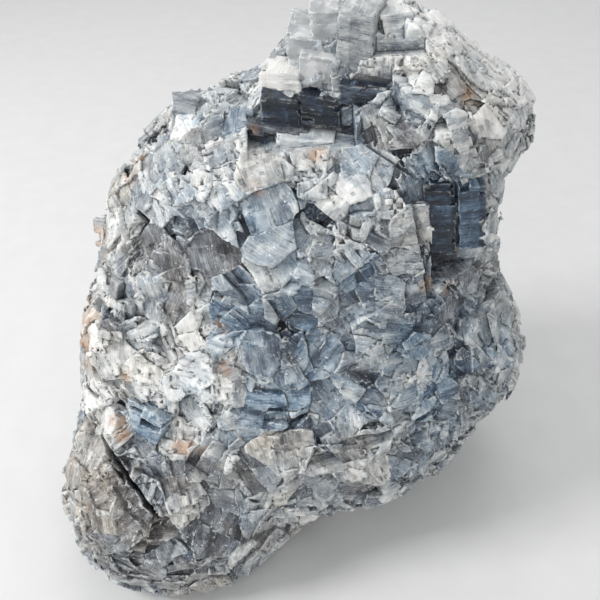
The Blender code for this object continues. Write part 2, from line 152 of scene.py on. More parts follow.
# Blocks that stand clear of the rest: centre, edges (across, deep, high), facing (turn, tilt), spin
BLOCKS = {
    "crown_clear": ((10.2, 44, 176), (17, 20, 10.4), (6, 4), 2),
    "crown_clear_top": ((14, 45, 183.5), (9.6, 16, 9), (6, 6), 8),
    "crown_plate": ((12, 38, 172), (12.5, 18, 9.5), (2, 8), 0),
    "crown_white": ((-0.3, 33, 168.4), (13.2, 12, 9), (-6, 10), 4),
    "crown_middle": ((24.5, 40, 178.5), (12, 20, 20), (-3, 10), -3),
    "crown_column": ((16.5, 32, 167.5), (4, 12, 8), (4, 2), 0),
    "window_left": ((-1, 31, 162), (12.5, 18, 11), (3, 4), 1),
    "window_right": ((12, 32, 162), (13.5, 18, 9), (-2, 5), 1),
    "window_ledge": ((-2, 28, 156.5), (20, 18, 3.5), (-4, 8), -2),
    "window_sill": ((6, 24, 153), (19, 16, 4), (6, 14), 2),
    "dark_slab": ((25.7, 32, 166), (15, 18, 6), (-2, 6), 3),
    "crown_right": ((37, 45, 177), (11, 18, 16), (14, 18), 10),
    "crown_ridge": ((42, 39, 163), (8, 18, 22), (18, 18), 8),
    "pocket_crystal": ((60, 32, 158), (13, 13, 11), (22, 30), 16),
    "shoulder_edge": ((67, 44, 150), (13, 18, 11), (34, 38), 14),
    "shoulder_foot": ((57, 26, 145), (12, 14, 8), (16, 20), 6),
    "waist_window_left": ((47.5, 13, 130), (11, 16, 24), (10, 8), 3),
    "waist_window_right": ((57.5, 15, 129), (10.5, 16, 23), (18, 6), 3),
    "left_top_block": ((-28.5, 44, 153), (15, 16, 13), (-20, 34), 6),
    "left_edge_block": ((-62.5, 32, 112), (13, 16, 17), (-40, 24), 20),
    "left_low_block": ((-75, 14, 66), (13, 18, 16), (-46, 20), 12),
    "bulge_block": ((72.5, 18, 70), (14, 18, 14), (40, 16), 22),
    "foot_outer_block": ((-78, -8, 39), (15, 20, 16), (-44, 20), 10),
    "back_block": ((20, 78, 108), (20, 16, 24), (172, 12), 8),
    "back_low_block": ((-26, 77, 52), (24, 16, 20), (188, 10), 14),
    "back_top_block": ((-22, 62, 132), (18, 18, 15), (196, 38), 24),
}

# Long open cracks: ends, width, depth; a crack's floor is narrower than its mouth
CRACK_FLOOR = 0.2
CRACKS = {
    "foot_groove": ((-75, -17, 62), (-49, -48, 42), 1.1, 3.0),
    "crown_crack": ((20, 13, 158), (41, 5, 145), 3.2, 4.5),
    "waist_crack": ((38, 2, 140), (43, -9, 108), 3.4, 5.0),
}
REST_HEIGHT = 1.2

# Spacing and box of the sampled copy of the form, and the parts that the sampling is cut into
FORM_GRID = 2.0
FORM_BOX = ((-108.0, -78.0, -14.0), (108.0, 108.0, 206.0))
FORM_PARTS = 16

# Reach of the band round the form that the crystals break up, the weight of the grains' coarse blocks under
# scattered crystals and under placed ones, the weight of the grains' heights, and the lift of the whole skin
BAND = 7.0
COARSE_SHARE = 0.3
FEATURE_SHARE = 0.1
GRAIN_WEIGHT = 0.8
SKIN_LIFT = 0.7

# The box that the stone is filled in, its shift in grid steps, and the room left round blocks and cracks
FILL_BOX = ((-100.0, -60.0, -0.9), (92.0, 94.5, 195.0))
FILL_SHIFT = 0.13
BLOCK_MARGIN = 1.2
CRACK_MARGIN = 8.0

# Limits that keep exponents and divisions in range
DEPTH_LIMITS = (-300, 900)
EXPONENT_LIMITS = (-80, 80)
TINY = 1e-9
TRACE_LEAST = 1e-6

# Splinters: spacing, spread, size, how many are turned away from their grain and how far, how proud these
# stand, and how far beyond one spacing from the form they are kept
SPLINTER_SPACING = 10.0
SPLINTER_JITTER = 0.46
SPLINTER_SIZE = (2.5, 6.0)
TURNED_SHARE = 0.25
SPLINTER_TILT = 0.30
SPLINTER_PROUD = 0.9
SPLINTER_BAND = 3.0

# How far the stone may stand proud of its form or lie below it, and how near to that its faces are level
MOST_PROUD = 2.4
NAMED_PROUD = 3.0
MOST_SUNK = 4.0
LEVEL_TOUCH = 0.01

# Kinds of splinter: share, ranges of step height, width and length, how far cells are broken out and how
# seldom, whether one flat roof ends it
SPLINTER_KINDS = {
    "laminae": (0.30, ((1.1, 1.9), (6.0, 11.0), (9.0, 16.0)), (0.8, 1.0), False),
    "plates": (0.12, ((1.0, 2.0), (3.5, 7.0), (5.0, 11.0)), (1.8, 3.0), True),
    "fibres": (0.26, ((1.2, 2.2), (1.4, 2.6), (9.0, 18.0)), (1.5, 1.0), True),
    "blocks": (0.14, ((1.2, 2.4), (2.4, 4.5), (3.0, 6.0)), (1.2, 1.5), False),
    "sugar": (0.07, ((0.9, 1.4), (1.2, 2.0), (1.4, 2.4)), (1.0, 1.0), False),
    "glass": (0.05, ((4.0, 8.0), (8.0, 14.0), (9.0, 16.0)), (1.0, 4.0), True),
    "ledges": (0.06, ((1.1, 1.6), (6.0, 10.0), (9.0, 14.0)), (3.0, 1.0), False),
}
ROOF_STEP = 1.1

# Crystals seen in the photograph: place and radius in its 600 x 600 pixels, facing (turn, tilt), spin,
# kind, tone from dark to white, warmth from blue to beige, and how proud it stands. The tone holds painted
# light and shade as well as the stone's own colour: darker for crystals sunk in hollows, paler on the left
# side
FEATURES = (
    (400, 35, 14, 5, 45, 80, "glass", 0.8, 0.4, 0), (434, 24, 13, 12, 50, 60, "glass", 0.84, 0.45, 1.4),
    (466, 38, 12, 15, 55, 36, "plates", 0.8, 0.5, 0), (452, 46, 14, 15, 50, 36, "plates", 0.78, 0.5, 1.8),
    (472, 60, 12, 20, 50, 36, "glass", 0.8, 0.5, 1.8), (490, 76, 16, 30, 45, 36, "glass", 0.8, 0.45, 2),
    (500, 62, 12, 30, 50, 30, "glass", 0.8, 0.5, 0), (150, 112, 13, -30, 40, 20, "laminae", 0.64, 0.5, 0),
    (182, 96, 13, -15, 50, 40, "laminae", 0.7, 0.4, 0), (420, 85, 14, 5, 40, 70, "plates", 0.84, 0.4, 0.5),
    (440, 107, 12, 12, 36, 70, "plates", 0.78, 0.35, 0), (440, 92, 6, 10, 10, 60, "blocks", 0.22, 0.8, -1),
    (512, 98, 12, 44, 30, 20, "glass", 0.78, 0.5, 2), (522, 86, 12, 45, 40, 20, "glass", 0.76, 0.5, 0),
    (128, 150, 13, -45, 35, 50, "laminae", 0.64, 0.5, 0),
    (165, 122, 16, -20, 40, 20, "blocks", 0.5, 0.5, 1.6),
    (190, 132, 15, -15, 38, 50, "fibres", 0.74, 0.3, 1), (205, 148, 13, 10, 25, 10, "plates", 0.48, 0.6, 0),
    (238, 125, 12, -5, 30, 0, "plates", 0.4, 0.2, 0), (250, 141, 16, -5, 55, 10, "sugar", 0.78, 0.6, 0),
    (275, 141, 13, 0, 60, 0, "plates", 0.75, 0.2, 0), (378, 124, 17, 5, 18, 20, "blocks", 0.38, 0.7, -0.5),
    (405, 130, 14, 10, 18, 40, "blocks", 0.42, 0.65, 0), (481, 148, 12, 20, 20, 12, "blocks", 0.48, 0.6, 0),
    (485, 126, 13, 25, 32, 10, "plates", 0.82, 0.5, 0.5),
    (505, 150, 12, 44, 10, 20, "glass", 0.62, 0.55, 0), (518, 122, 12, 50, 20, 20, "glass", 0.7, 0.5, 0.6),
    (108, 190, 13, -55, 30, 50, "plates", 0.62, 0.8, 0),
    (148, 178, 16, -40, 42, 50, "fibres", 0.66, 0.3, 0),
    (168, 160, 19, -25, 42, 48, "fibres", 0.58, 0.25, 0), (205, 178, 18, -5, 40, 0, "sugar", 0.68, 0.4, 0),
    (224, 196, 13, 0, 40, 30, "sugar", 0.7, 0.3, 0), (258, 170, 26, -4, 50, 20, "plates", 0.55, 0.75, 1),
    (303, 166, 25, 5, 48, 10, "sugar", 0.76, 0.45, 0), (352, 191, 16, 8, 50, 30, "plates", 0.78, 0.35, 0),
    (360, 166, 15, 5, 42, 30, "plates", 0.5, 0.3, 0), (381, 175, 12, 0, 45, 45, "fibres", 0.72, 0.35, 0),
    (398, 180, 9, 10, 15, 50, "blocks", 0.25, 0.5, -1), (412, 188, 13, 15, 30, 10, "plates", 0.42, 0.2, 0),
    (425, 165, 14, 20, 42, 10, "plates", 0.5, 0.2, 0), (496, 182, 14, 40, 8, 30, "plates", 0.6, 0.45, 0),
    (96, 236, 12, -60, 20, 20, "glass", 0.78, 0.76, 0),
    (122, 200, 15, -50, 20, 60, "plates", 0.58, 0.85, 1.4),
    (125, 218, 12, -40, 40, 0, "plates", 0.74, 0.46, 0),
    (165, 205, 17, -30, 40, 48, "fibres", 0.68, 0.3, 0),
    (195, 205, 14, -5, 30, -35, "fibres", 0.64, 0.4, 0), (197, 229, 10, 0, 20, 30, "blocks", 0.34, 0.2, -1),
    (226, 224, 11, 0, 30, 40, "blocks", 0.74, 0.25, 0), (243, 226, 8, 0, 20, 40, "blocks", 0.2, 0.1, -1),
    (265, 210, 24, -6, 32, 20, "plates", 0.54, 0.2, 0.5),
    (311, 236, 17, -12, 32, -42, "plates", 0.66, 0.2, 0.5),
    (320, 220, 12, -2, 20, -42, "fibres", 0.26, 0.1, -1.4),
    (335, 208, 12, 6, 34, -38, "plates", 0.68, 0.6, 0.5),
    (362, 212, 12, 4, 20, 20, "blocks", 0.42, 0.25, -0.5), (385, 205, 13, 5, 40, 0, "sugar", 0.8, 0.4, 0),
    (406, 232, 22, 15, 22, 84, "fibres", 0.58, 0.5, 0), (490, 218, 14, 40, 4, 20, "laminae", 0.6, 0.45, 0),
    (113, 243, 18, -42, 32, 0, "plates", 0.86, 0.66, 0.4),
    (155, 246, 17, -18, 18, 30, "plates", 0.35, 0.65, 0),
    (212, 252, 24, -8, 24, 20, "plates", 0.35, 0.6, 0.5), (268, 272, 8, 0, 50, 20, "plates", 0.73, 0.5, 1),
    (270, 246, 22, -6, 34, 60, "glass", 0.62, 0.2, 1.5), (284, 266, 13, -6, 30, 30, "plates", 0.57, 0.2, 0),
    (325, 268, 11, 0, 40, -42, "plates", 0.67, 0.3, 0), (340, 275, 12, 0, 20, -42, "plates", 0.43, 0.15, 0),
    (352, 256, 14, 0, 30, 20, "sugar", 0.53, 0.4, 0), (371, 270, 12, 8, 20, 30, "blocks", 0.4, 0.2, 0),
    (402, 262, 20, 14, 20, 80, "fibres", 0.56, 0.4, 0), (460, 275, 14, 24, 104, 4, "ledges", 0.32, 0.4, 0),
    (487, 252, 12, 36, 6, 20, "glass", 0.62, 0.45, 0),
    (110, 282, 18, -42, 20, 10, "laminae", 0.68, 0.51, 0),
    (134, 317, 5, -30, 10, 5, "blocks", 0.34, 0.36, -1),
    (137, 305, 13, -35, 18, 5, "blocks", 0.62, 0.36, 0), (153, 306, 11, -25, 20, 5, "blocks", 0.7, 0.3, 0),
    (180, 304, 15, -24, 24, -20, "plates", 0.44, 0.75, 0),
    (226, 308, 9, -8, 10, 52, "fibres", 0.38, 0.05, 0), (237, 318, 15, -10, 20, 52, "fibres", 0.5, 0.05, 1),
    (285, 305, 12, -4, 20, 20, "plates", 0.39, 0.1, 0),
    (302, 314, 14, 0, 106, 4, "ledges", 0.21, 0.1, -0.4), (304, 294, 12, 4, 100, 0, "ledges", 0.27, 0.1, 0),
    (345, 315, 18, -5, 32, 40, "plates", 0.47, 0.3, 0), (383, 296, 26, 8, 24, 72, "fibres", 0.5, 0.3, 0.3),
    (412, 292, 16, 16, 20, 78, "fibres", 0.44, 0.35, 0), (450, 308, 16, 26, 28, -24, "fibres", 0.4, 0.5, 0),
    (506, 310, 12, 44, 30, 10, "glass", 0.66, 0.4, 0),
    (95, 332, 14, -50, 20, 20, "laminae", 0.78, 0.96, 0.5),
    (125, 350, 17, -36, 30, 20, "laminae", 0.78, 0.56, 0),
    (196, 330, 20, -16, 35, 10, "glass", 0.76, 0.65, 0),
    (215, 344, 12, -14, 20, 74, "fibres", 0.64, 0.05, 0),
    (262, 352, 25, -6, 16, 12, "plates", 0.45, 0.25, 1),
    (294, 336, 10, 0, 10, 30, "blocks", 0.27, 0.4, -0.6),
    (316, 350, 21, 8, 22, -40, "fibres", 0.42, 0.15, 0), (366, 336, 16, 6, 24, 74, "fibres", 0.5, 0.25, 0),
    (375, 351, 8, 0, 45, 10, "glass", 0.68, 0.4, 0), (398, 330, 16, 12, 22, 70, "fibres", 0.46, 0.25, 0),
    (414, 341, 13, 16, 24, 20, "blocks", 0.46, 0.15, 0),
    (420, 325, 8, 18, 14, -20, "blocks", 0.24, 0.2, -0.5),
    (451, 349, 10, 28, 20, 70, "plates", 0.28, 0.1, 0), (480, 322, 15, 32, 24, -20, "blocks", 0.48, 0.3, 0),
    (500, 350, 17, 40, 22, 20, "blocks", 0.56, 0.3, 0), (142, 368, 22, -28, 36, 10, "sugar", 0.74, 0.81, 0),
    (152, 396, 20, -24, 45, 10, "sugar", 0.82, 0.4, 0),
    (198, 372, 19, -14, 20, 78, "fibres", 0.76, 0.12, 0.5),
    (225, 386, 12, -8, 40, 20, "sugar", 0.8, 0.6, 0), (231, 364, 12, -12, 15, -50, "fibres", 0.45, 0.7, 0),
    (266, 384, 15, -6, 20, 12, "plates", 0.5, 0.2, 0.5), (350, 386, 15, 0, 24, 60, "fibres", 0.55, 0.2, 0),
    (391, 386, 12, 14, 24, 80, "glass", 0.52, 0.15, 0),
    (435, 366, 17, 22, 28, -35, "fibres", 0.6, 0.15, 0.5),
    (440, 390, 11, 24, 104, 10, "ledges", 0.28, 0.1, -0.4),
    (106, 424, 14, -42, 36, 20, "glass", 0.82, 0.56, 0.5),
    (152, 417, 22, -24, 100, 10, "ledges", 0.42, 0.1, 0),
    (232, 432, 12, -8, 40, 40, "fibres", 0.6, 0.4, 0.5), (250, 425, 15, -8, 100, 4, "ledges", 0.4, 0, 0),
    (270, 404, 26, -6, 104, 2, "ledges", 0.32, 0, -0.6),
    (298, 400, 14, 8, 106, -2, "ledges", 0.36, 0, -0.3), (328, 400, 18, 0, 28, 35, "fibres", 0.48, 0.3, 0),
    (350, 425, 15, 4, 36, 0, "sugar", 0.68, 0.3, 0), (371, 400, 12, 6, 14, 70, "fibres", 0.42, 0.15, -0.5),
    (425, 405, 15, 20, 24, 10, "blocks", 0.5, 0.15, 0.5), (445, 434, 14, 24, 20, 10, "blocks", 0.5, 0.2, 0),
    (480, 400, 14, 34, 8, 20, "blocks", 0.38, 0.4, 0), (80, 470, 15, -46, 30, 10, "glass", 0.54, 0.88, 0.5),
    (92, 452, 20, -42, 32, 20, "glass", 0.53, 0.76, 0),
    (158, 468, 12, -20, 20, 70, "fibres", 0.37, 0.43, 0), (181, 440, 18, -14, 40, 0, "sugar", 0.72, 0.6, 0),
    (240, 478, 10, 0, 24, 20, "plates", 0.32, 0.43, 0), (252, 472, 22, -4, 28, 30, "plates", 0.42, 0.58, 0),
    (263, 446, 12, 0, 35, 20, "plates", 0.66, 0.86, 0), (290, 450, 21, 0, 32, 10, "plates", 0.5, 0.66, 0),
    (355, 446, 14, 4, 20, 25, "fibres", 0.42, 0.71, 0), (370, 470, 21, 8, 36, 10, "sugar", 0.74, 0.66, 0),
    (405, 460, 16, 15, 12, 50, "plates", 0.45, 0.31, 0), (68, 487, 8, -60, 20, 0, "sugar", 0.54, 1, 0),
    (86, 502, 14, -46, 16, 10, "blocks", 0.44, 0.83, 0),
    (108, 490, 15, -36, 24, -42, "fibres", 0.42, 0.83, 0),
    (172, 485, 11, -10, 45, 15, "glass", 0.3, 0.73, 1),
    (186, 506, 19, -8, 55, 10, "sugar", 0.62, 0.58, 0.5), (225, 491, 13, 0, 40, 60, "plates", 0.5, 0.53, 0),
    (328, 482, 14, 0, 24, 30, "plates", 0.48, 0.46, 0),
    (110, 527, 14, -36, 10, 30, "blocks", 0.34, 0.73, 0),
    (135, 520, 15, -26, 20, -42, "fibres", 0.36, 0.78, 0),
    (214, 536, 25, 8, 32, -26, "fibres", 0.32, 0.53, 0), (268, 530, 16, 14, 20, 0, "glass", 0.49, 0.68, 0),
    (120, 563, 14, -24, 4, 84, "fibres", 0.34, 0.58, 0), (145, 573, 13, -16, 2, 84, "fibres", 0.4, 0.53, 0),
    (170, 582, 13, -8, 2, 80, "glass", 0.42, 0.58, 0), (205, 580, 15, 4, 4, 10, "glass", 0.52, 0.73, 0),
)
# How these are set in the stone: share of the form's own slope in their facing, pull on their neighbours, gap
# kept free of scattered crystals, place in the kind's range of steps, share of the kind's broken-out depth
FEATURE_SLOPE = 0.5
FEATURE_PULL = 0.9
FEATURE_GAP = 1.5
FEATURE_STEP = 0.6
NAMED_REACH = 0.6

# Look of the stone: tone and warmth away from these crystals and how much they count, how far a crystal's
# look reaches, its share on its own faces, and the random spread of scattered crystals with its limit
PLAIN_TONE = 0.53
PLAIN_WARMTH = 0.46
PLAIN_PULL = 0.25
LOOK_REACH = 10.0
LOOK_OWN = 0.7
TONE_SPREAD = np.array([0.09, 0.12])
TONE_LIMIT = 1.8

# How far the streaks of neighbouring plates lie apart in their pattern
LINE_SPREAD = 9

# Search for crystals: edge of the small cubes, and how many crystals each may belong to
CUBE = 4.0
CHOICES = 12

# How the planes are bent: reach, waves per millimetre, phase; and the step at which the bend is read
BENDS = ((1.2, 0.16, 0.3), (0.30, 0.62, 1.1), (0.07, 2.0, 2.6))
BEND_PROBE = 0.05
# For each axis of a bend: the two axes that it follows, sway, its slowness, sign of the phase and start
BEND_PATHS = ((1, 2, 1.7, 0.62, 1, 0.5), (2, 0, 1.5, 0.57, -1, 2.1), (0, 1, 1.6, 0.66, 1, 4.0))

# Repeatable random values: a weight for each key, and the scale whose fraction is kept
LOTTERY_WEIGHTS = (12.9898, 78.233, 37.719, 53.141, 91.337)
LOTTERY_SCALE = 43758.5453

# A facing this close to straight up takes its side from the X axis
LEVEL_SIDE = 0.05

# What a piece of the surface belongs to
FACE_FINE, FACE_BORDER, FACE_COARSE, FACE_BLOCK, FACE_CRACK, FACE_GROUND = range(6)

# The standing blocks' own thin plates: cell sizes, how far plates stand back, how wide the chipped edges are,
# how many cells there stay whole, and how far the cells of one block are shifted from the next
BLOCK_CELL = np.array([3.4, 3.0, 1.6])
BLOCK_NOTCH = 0.45
BLOCK_CHIP = 1.0
BLOCK_WHOLE = 0.7
BLOCK_OFFSET = 0.37

# The clear crystals, which light goes through: they are pieces of their own
CLEAR_BLOCKS = ("crown_clear", "crown_clear_top", "crown_plate", "crown_column")

# Meshing: halvings of each crossing, and pull towards its middle
HALVINGS = 8
HOLD = 0.03

# Work done at once: threads, points in one slice, and cubes in one slice of the search for crystals
THREADS = 4
PART_LENGTH = 120000
CUBE_PART = 1500

# The fold, in grid steps, at which an edge takes its full frost and painted highlight and a cleft its full
# painted shade
EDGE_BEND = 0.3

# Chips keep this far above the resting face
CHIP_CLEARANCE = 4.5

# The skin is cut into level slabs, each a piece
SLABS = (
    "calcite_foot", "calcite_belly", "calcite_middle", "calcite_waist", "calcite_shoulder", "calcite_crown",
)

# Rusty stains round the sides: centre, radius
STAINS = {
    "left_edge": ((-84, 20, 98), 8),
    "left_edge_low": ((-84, 8, 80), 8),
    "crown_back": ((-32, 40, 150), 4),
    "waist": ((50, -6, 109), 3),
}
# Rusty stains seen in the photograph: place in its 600 x 600 pixels, radius in millimetres
STAINS_SEEN = (
    (141, 162, 3), (133, 177, 3.5), (124, 191, 3), (98, 237, 4), (113, 257, 4), (91, 306, 4),
    (92, 322, 4.5), (90, 342, 4.5), (98, 362, 3.5), (127, 374, 3), (118, 421, 3), (123, 437, 3),
    (178, 447, 2.5), (188, 449, 3), (205, 451, 2.5), (214, 407, 2), (221, 327, 2.5), (226, 368, 2.5),
    (264, 173, 2), (257, 186, 3), (254, 129, 1.5), (247, 115, 1.5), (318, 156, 3), (465, 94, 3),
    (515, 88, 3), (425, 285, 3),
)

# Standing blocks: tone and warmth. The windows' near-black tone is painted shade, the dark seen through clear
# calcite
BLOCK_LOOKS = {
    "crown_white": (0.82, 0.6),
    "crown_middle": (0.56, 0.5),
    "window_left": (0.08, 0.0),
    "window_right": (0.05, 0.0),
    "window_ledge": (0.25, 0.5),
    "window_sill": (0.74, 0.25),
    "dark_slab": (0.22, 0.2),
    "crown_right": (0.78, 0.45),
    "crown_ridge": (0.78, 0.4),
    "pocket_crystal": (0.36, 0.9),
    "shoulder_edge": (0.70, 0.5),
    "shoulder_foot": (0.52, 0.5),
    "waist_window_left": (0.08, 0.0),
    "waist_window_right": (0.26, 0.0),
}

# The photograph's viewpoint: place in the growing frame, how far it looks down, its roll, its lens and
# sensor, where the view starts, the picture's edge in pixels, and where and how finely its lines of sight
# are searched
CAMERA_SPOT = np.array([0.0, -191.0, 261.0])
CAMERA_DOWN = math.radians(39.45)
CAMERA_ROLL = math.radians(-3.45)
CAMERA_LENS = 43.5
SENSOR = 36.0
NEAREST_SIGHT = 0.01
PHOTO_EDGE = 600
SIGHT_REACH = (150.0, 420.0)
SIGHT_STEP = 0.5

# Studio lamps: place in metres, edge in metres and the setting that gives their power
LAMPS = {
    "key": ((-0.85, -0.10, 0.80), 0.35, "key"),
    "fill": ((-0.25, -1.00, 0.60), 0.9, "fill"),
    "top": ((0.1, 0.35, 1.1), 0.7, "fill"),
}
LAMP_TARGET = (0.0, 0.0, 0.09)
SKY_COLOUR = (0.97, 0.98, 1.0, 1.0)


# ------------------------------------------------------------------ the chunk's form and its crystals


def grid_ticks(low, spacing, size):
    """The places of a grid's points along each axis."""
    return [low[k] + spacing * np.arange(size[k]) for k in range(3)]


def grid_points(ticks):
    """The points of a grid, from its places along each axis."""
    return np.stack(np.meshgrid(*ticks, indexing="ij"), axis=-1).reshape(-1, 3)


def unit(vectors, least=TINY):
    """Vectors at length 1, apart from ones shorter than the least length."""
    return vectors / np.maximum(np.linalg.norm(vectors, axis=1, keepdims=True), least)


def slope_of(read, points, reach):
    """Direction in which a distance grows fastest at each point."""
    steps = np.eye(3) * reach
    return unit(np.stack([read(points + step) - read(points - step) for step in steps], axis=1))


def in_box(points, centre, edges):
    """Whether points lie inside an upright box."""
    return (np.abs(points - np.array(centre)) < np.array(edges) / 2).all(axis=1)


def lobe_turn(name):
    """The rotation of one rounded mass."""
    turn = Matrix.Rotation(math.radians(LOBES[name][2]), 3, "Y")
    if name == "body":
        turn = Matrix.Rotation(BODY_LEAN, 3, "X") @ turn
    return turn


def oval_depth(points, centre, half, turn, squareness):
    """Rough distance of points outside a squared-off oval."""
    local = (points - np.array(centre, float)) @ np.array(turn) / np.array(half, float)
    reach = (np.abs(local) ** squareness).sum(axis=1) ** (1 / squareness)
    return (reach - 1) * min(half)


def form_depth(points):
    """Distance of points outside the chunk's smooth form, with its hollows."""
    blend = np.zeros(len(points))
    for name, (centre, half, _) in LOBES.items():
        depth = oval_depth(points, centre, half, lobe_turn(name), LOBE_SQUARENESS)
        blend += np.exp(-np.clip(depth, *DEPTH_LIMITS) / LOBE_BLEND)
    solid = FORM_INSET - LOBE_BLEND * np.log(blend + 1e-300)
    keep = np.exp(np.clip(solid / HOLLOW_BLEND, *EXPONENT_LIMITS))
    for centre, half in HOLLOWS.values():
        depth = oval_depth(points, centre, half, np.eye(3), 2.0)
        keep += np.exp(np.clip(-depth / HOLLOW_BLEND, *EXPONENT_LIMITS))
    return HOLLOW_BLEND * np.log(keep)


def form_slope(points):
    """Outward direction of the smooth form at each point."""
    return slope_of(form_depth, points, SLOPE_PROBE)


def facing_vector(turn, tilt):
    """Direction from a turn to the right of the front and a tilt upwards, in degrees."""
    turn, tilt = math.radians(turn), math.radians(tilt)
    return Vector((math.sin(turn) * math.cos(tilt), -math.cos(turn) * math.cos(tilt), math.sin(tilt)))


def cleavage_normals(facing, spin):
    """The three cleavage normals of a crystal that shows one face in the facing direction."""
    out = Vector(facing).normalized()
    side = Vector((0, 0, 1)).cross(out)
    side = Vector((1, 0, 0)) if side.length < LEVEL_SIDE else side.normalized()
    side.rotate(Matrix.Rotation(spin, 3, out))
    up = out.cross(side)
    lean, spread = math.cos(CLEAVAGE_ANGLE), math.sin(CLEAVAGE_ANGLE)
    across = (lean - lean * lean) / spread
    along = math.sqrt(1 - across * across - lean * lean)
    return out, side * spread + out * lean, side * across + up * along + out * lean


def lottery(*keys):
    """A repeatable random value between 0 and 1 for whole-number keys."""
    mix = np.zeros(np.shape(keys[0]))
    for key, weight in zip(keys, LOTTERY_WEIGHTS):
        mix = mix + np.asarray(key) * weight
    return np.modf(np.abs(np.sin(mix) * LOTTERY_SCALE))[0]


def bend(points, low=True, high=True):
    """How far the crystals' planes are bent out of true at each point."""
    shift = np.zeros_like(points)
    waves = [wave for wave, used in zip(BENDS, (low, high, high)) if used]
    for reach, rate, phase in waves:
        for axis, (first, second, sway, slow, sign, start) in enumerate(BEND_PATHS):
            drift = sway * np.sin(rate * slow * points[:, second] + sign * phase)
            shift[:, axis] += reach * np.sin(rate * points[:, first] + drift + start)
    return shift


class Lattice:
    """Scattered crystals, each cut by its own three families of cleavage planes."""

    def scatter(self, low, high, spacing):
        """Points of a regular grid."""
        return grid_points([np.arange(first, last, spacing) for first, last in zip(low, high)])

    def settle(self, form, seeds, weights, normals, steps, anchors=None, groups=None):
        """Keep the crystals, and note which of them each small cube of space may belong to."""
        self.seed = np.array(seeds, float)
        self.weight = np.array(weights, float)
        self.normal = np.array(normals, float)
        self.spread = np.linalg.inv(self.normal)
        self.step = np.array(steps, float)
        self.anchor = self.seed if anchors is None else anchors
        self.group = np.arange(len(self.seed)) if groups is None else groups
        self.low = form.low
        self.size = np.ceil(form.size * FORM_GRID / CUBE).astype(int)
        cubes = grid_points([form.low[k] + CUBE * (np.arange(self.size[k]) + 0.5) for k in range(3)])
        rows = np.flatnonzero(np.abs(form.read(cubes)) < BAND + 2 * CUBE)
        square = (self.seed ** 2).sum(axis=1) - self.weight

        def nearest(part):
            far = square[None] - 2 * cubes[part] @ self.seed.T
            return np.argpartition(far, CHOICES, axis=1)[:, :CHOICES]

        self.table = np.zeros((len(cubes), CHOICES), np.int32)
        self.table[rows] = in_parts(nearest, rows, length=CUBE_PART)

    def owner(self, points):
        """Index of the crystal that each point lies in."""
        cube = np.clip(((points - self.low) / CUBE).astype(int), 0, self.size - 1)
        row = (cube[:, 0] * self.size[1] + cube[:, 1]) * self.size[2] + cube[:, 2]
        best = np.full(len(points), np.inf)
        found = np.zeros(len(points), int)
        for choice in range(CHOICES):
            index = self.table[row, choice]
            gap = ((points - self.seed[index]) ** 2).sum(axis=1) - self.weight[index]
            closer = gap < best
            best[closer] = gap[closer]
            found[closer] = index[closer]
        return found

    def cells(self, points, owner):
        """The cleavage block that each point lies in: its middle and its three step numbers."""
        normal = self.normal[owner]
        anchor = self.anchor[owner]
        place = np.einsum("pkc,pc->pk", normal, points - anchor)
        middle = np.empty_like(place)
        cell = np.empty_like(place)
        for family in range(3):
            step = self.step[owner, family]
            count = np.floor(place[:, family] / step)
            key = np.full(len(owner), family)
            planes = []
            for number in (count - 1, count, count + 1):
                uneven = STEP_UNEVENNESS * lottery(number, self.group[owner], key)
                planes.append((number + uneven) * step)
            below = place[:, family] < planes[1]
            cell[:, family] = count - below
            middle[:, family] = np.where(below, planes[0] + planes[1], planes[1] + planes[2]) / 2
        return anchor + np.einsum("pck,pk->pc", self.spread[owner], middle), cell


class Crystals(Lattice):
    """The chunk's grains: the same seeded scatter as in the solid."""

    def __init__(self, form):
        rng = np.random.default_rng(RANDOM_SEED)
        seeds = self.scatter(*SCATTER_BOX, GRAIN_SPACING)
        seeds = seeds + rng.uniform(-GRAIN_JITTER, GRAIN_JITTER, seeds.shape) * GRAIN_SPACING
        lean = rng.normal(0, GRAIN_TILT, seeds.shape)
        spins = rng.uniform(0, math.tau, len(seeds))
        heights = rng.uniform(*STEP_HEIGHT, len(seeds))
        widths = rng.uniform(*STEP_WIDTH, (len(seeds), 2))
        near = np.abs(form_depth(seeds)) < GRAIN_SPACING
        facings = form_slope(seeds[near]) + lean[near]
        normals = [cleavage_normals(Vector(out), spin) for out, spin in zip(facings, spins[near])]
        steps = [(height, *width) for height, width in zip(heights[near], widths[near])]
        seeds = list(seeds[near])
        weights = [0.0] * len(seeds)
        for centre, (turn, tilt), spin, step in LEADING_GRAINS.values():
            seeds.append(centre)
            normals.append(cleavage_normals(facing_vector(turn, tilt), math.radians(spin)))
            steps.append(step)
            weights.append(LEADING_PULL)
        self.settle(form, seeds, weights, [[tuple(n) for n in trio] for trio in normals], steps)
        self.proud = rng.uniform(-GRAIN_PROUD, GRAIN_PROUD, len(seeds))


def camera_axes():
    """Right, up and ahead of the photograph's view."""
    ahead = np.array([0, math.cos(CAMERA_DOWN), -math.sin(CAMERA_DOWN)])
    up = np.array([0, math.sin(CAMERA_DOWN), math.cos(CAMERA_DOWN)])
    right = np.array([1.0, 0, 0])
    turned = right * math.cos(CAMERA_ROLL) + up * math.sin(CAMERA_ROLL)
    upright = up * math.cos(CAMERA_ROLL) - right * math.sin(CAMERA_ROLL)
    return turned, upright, ahead


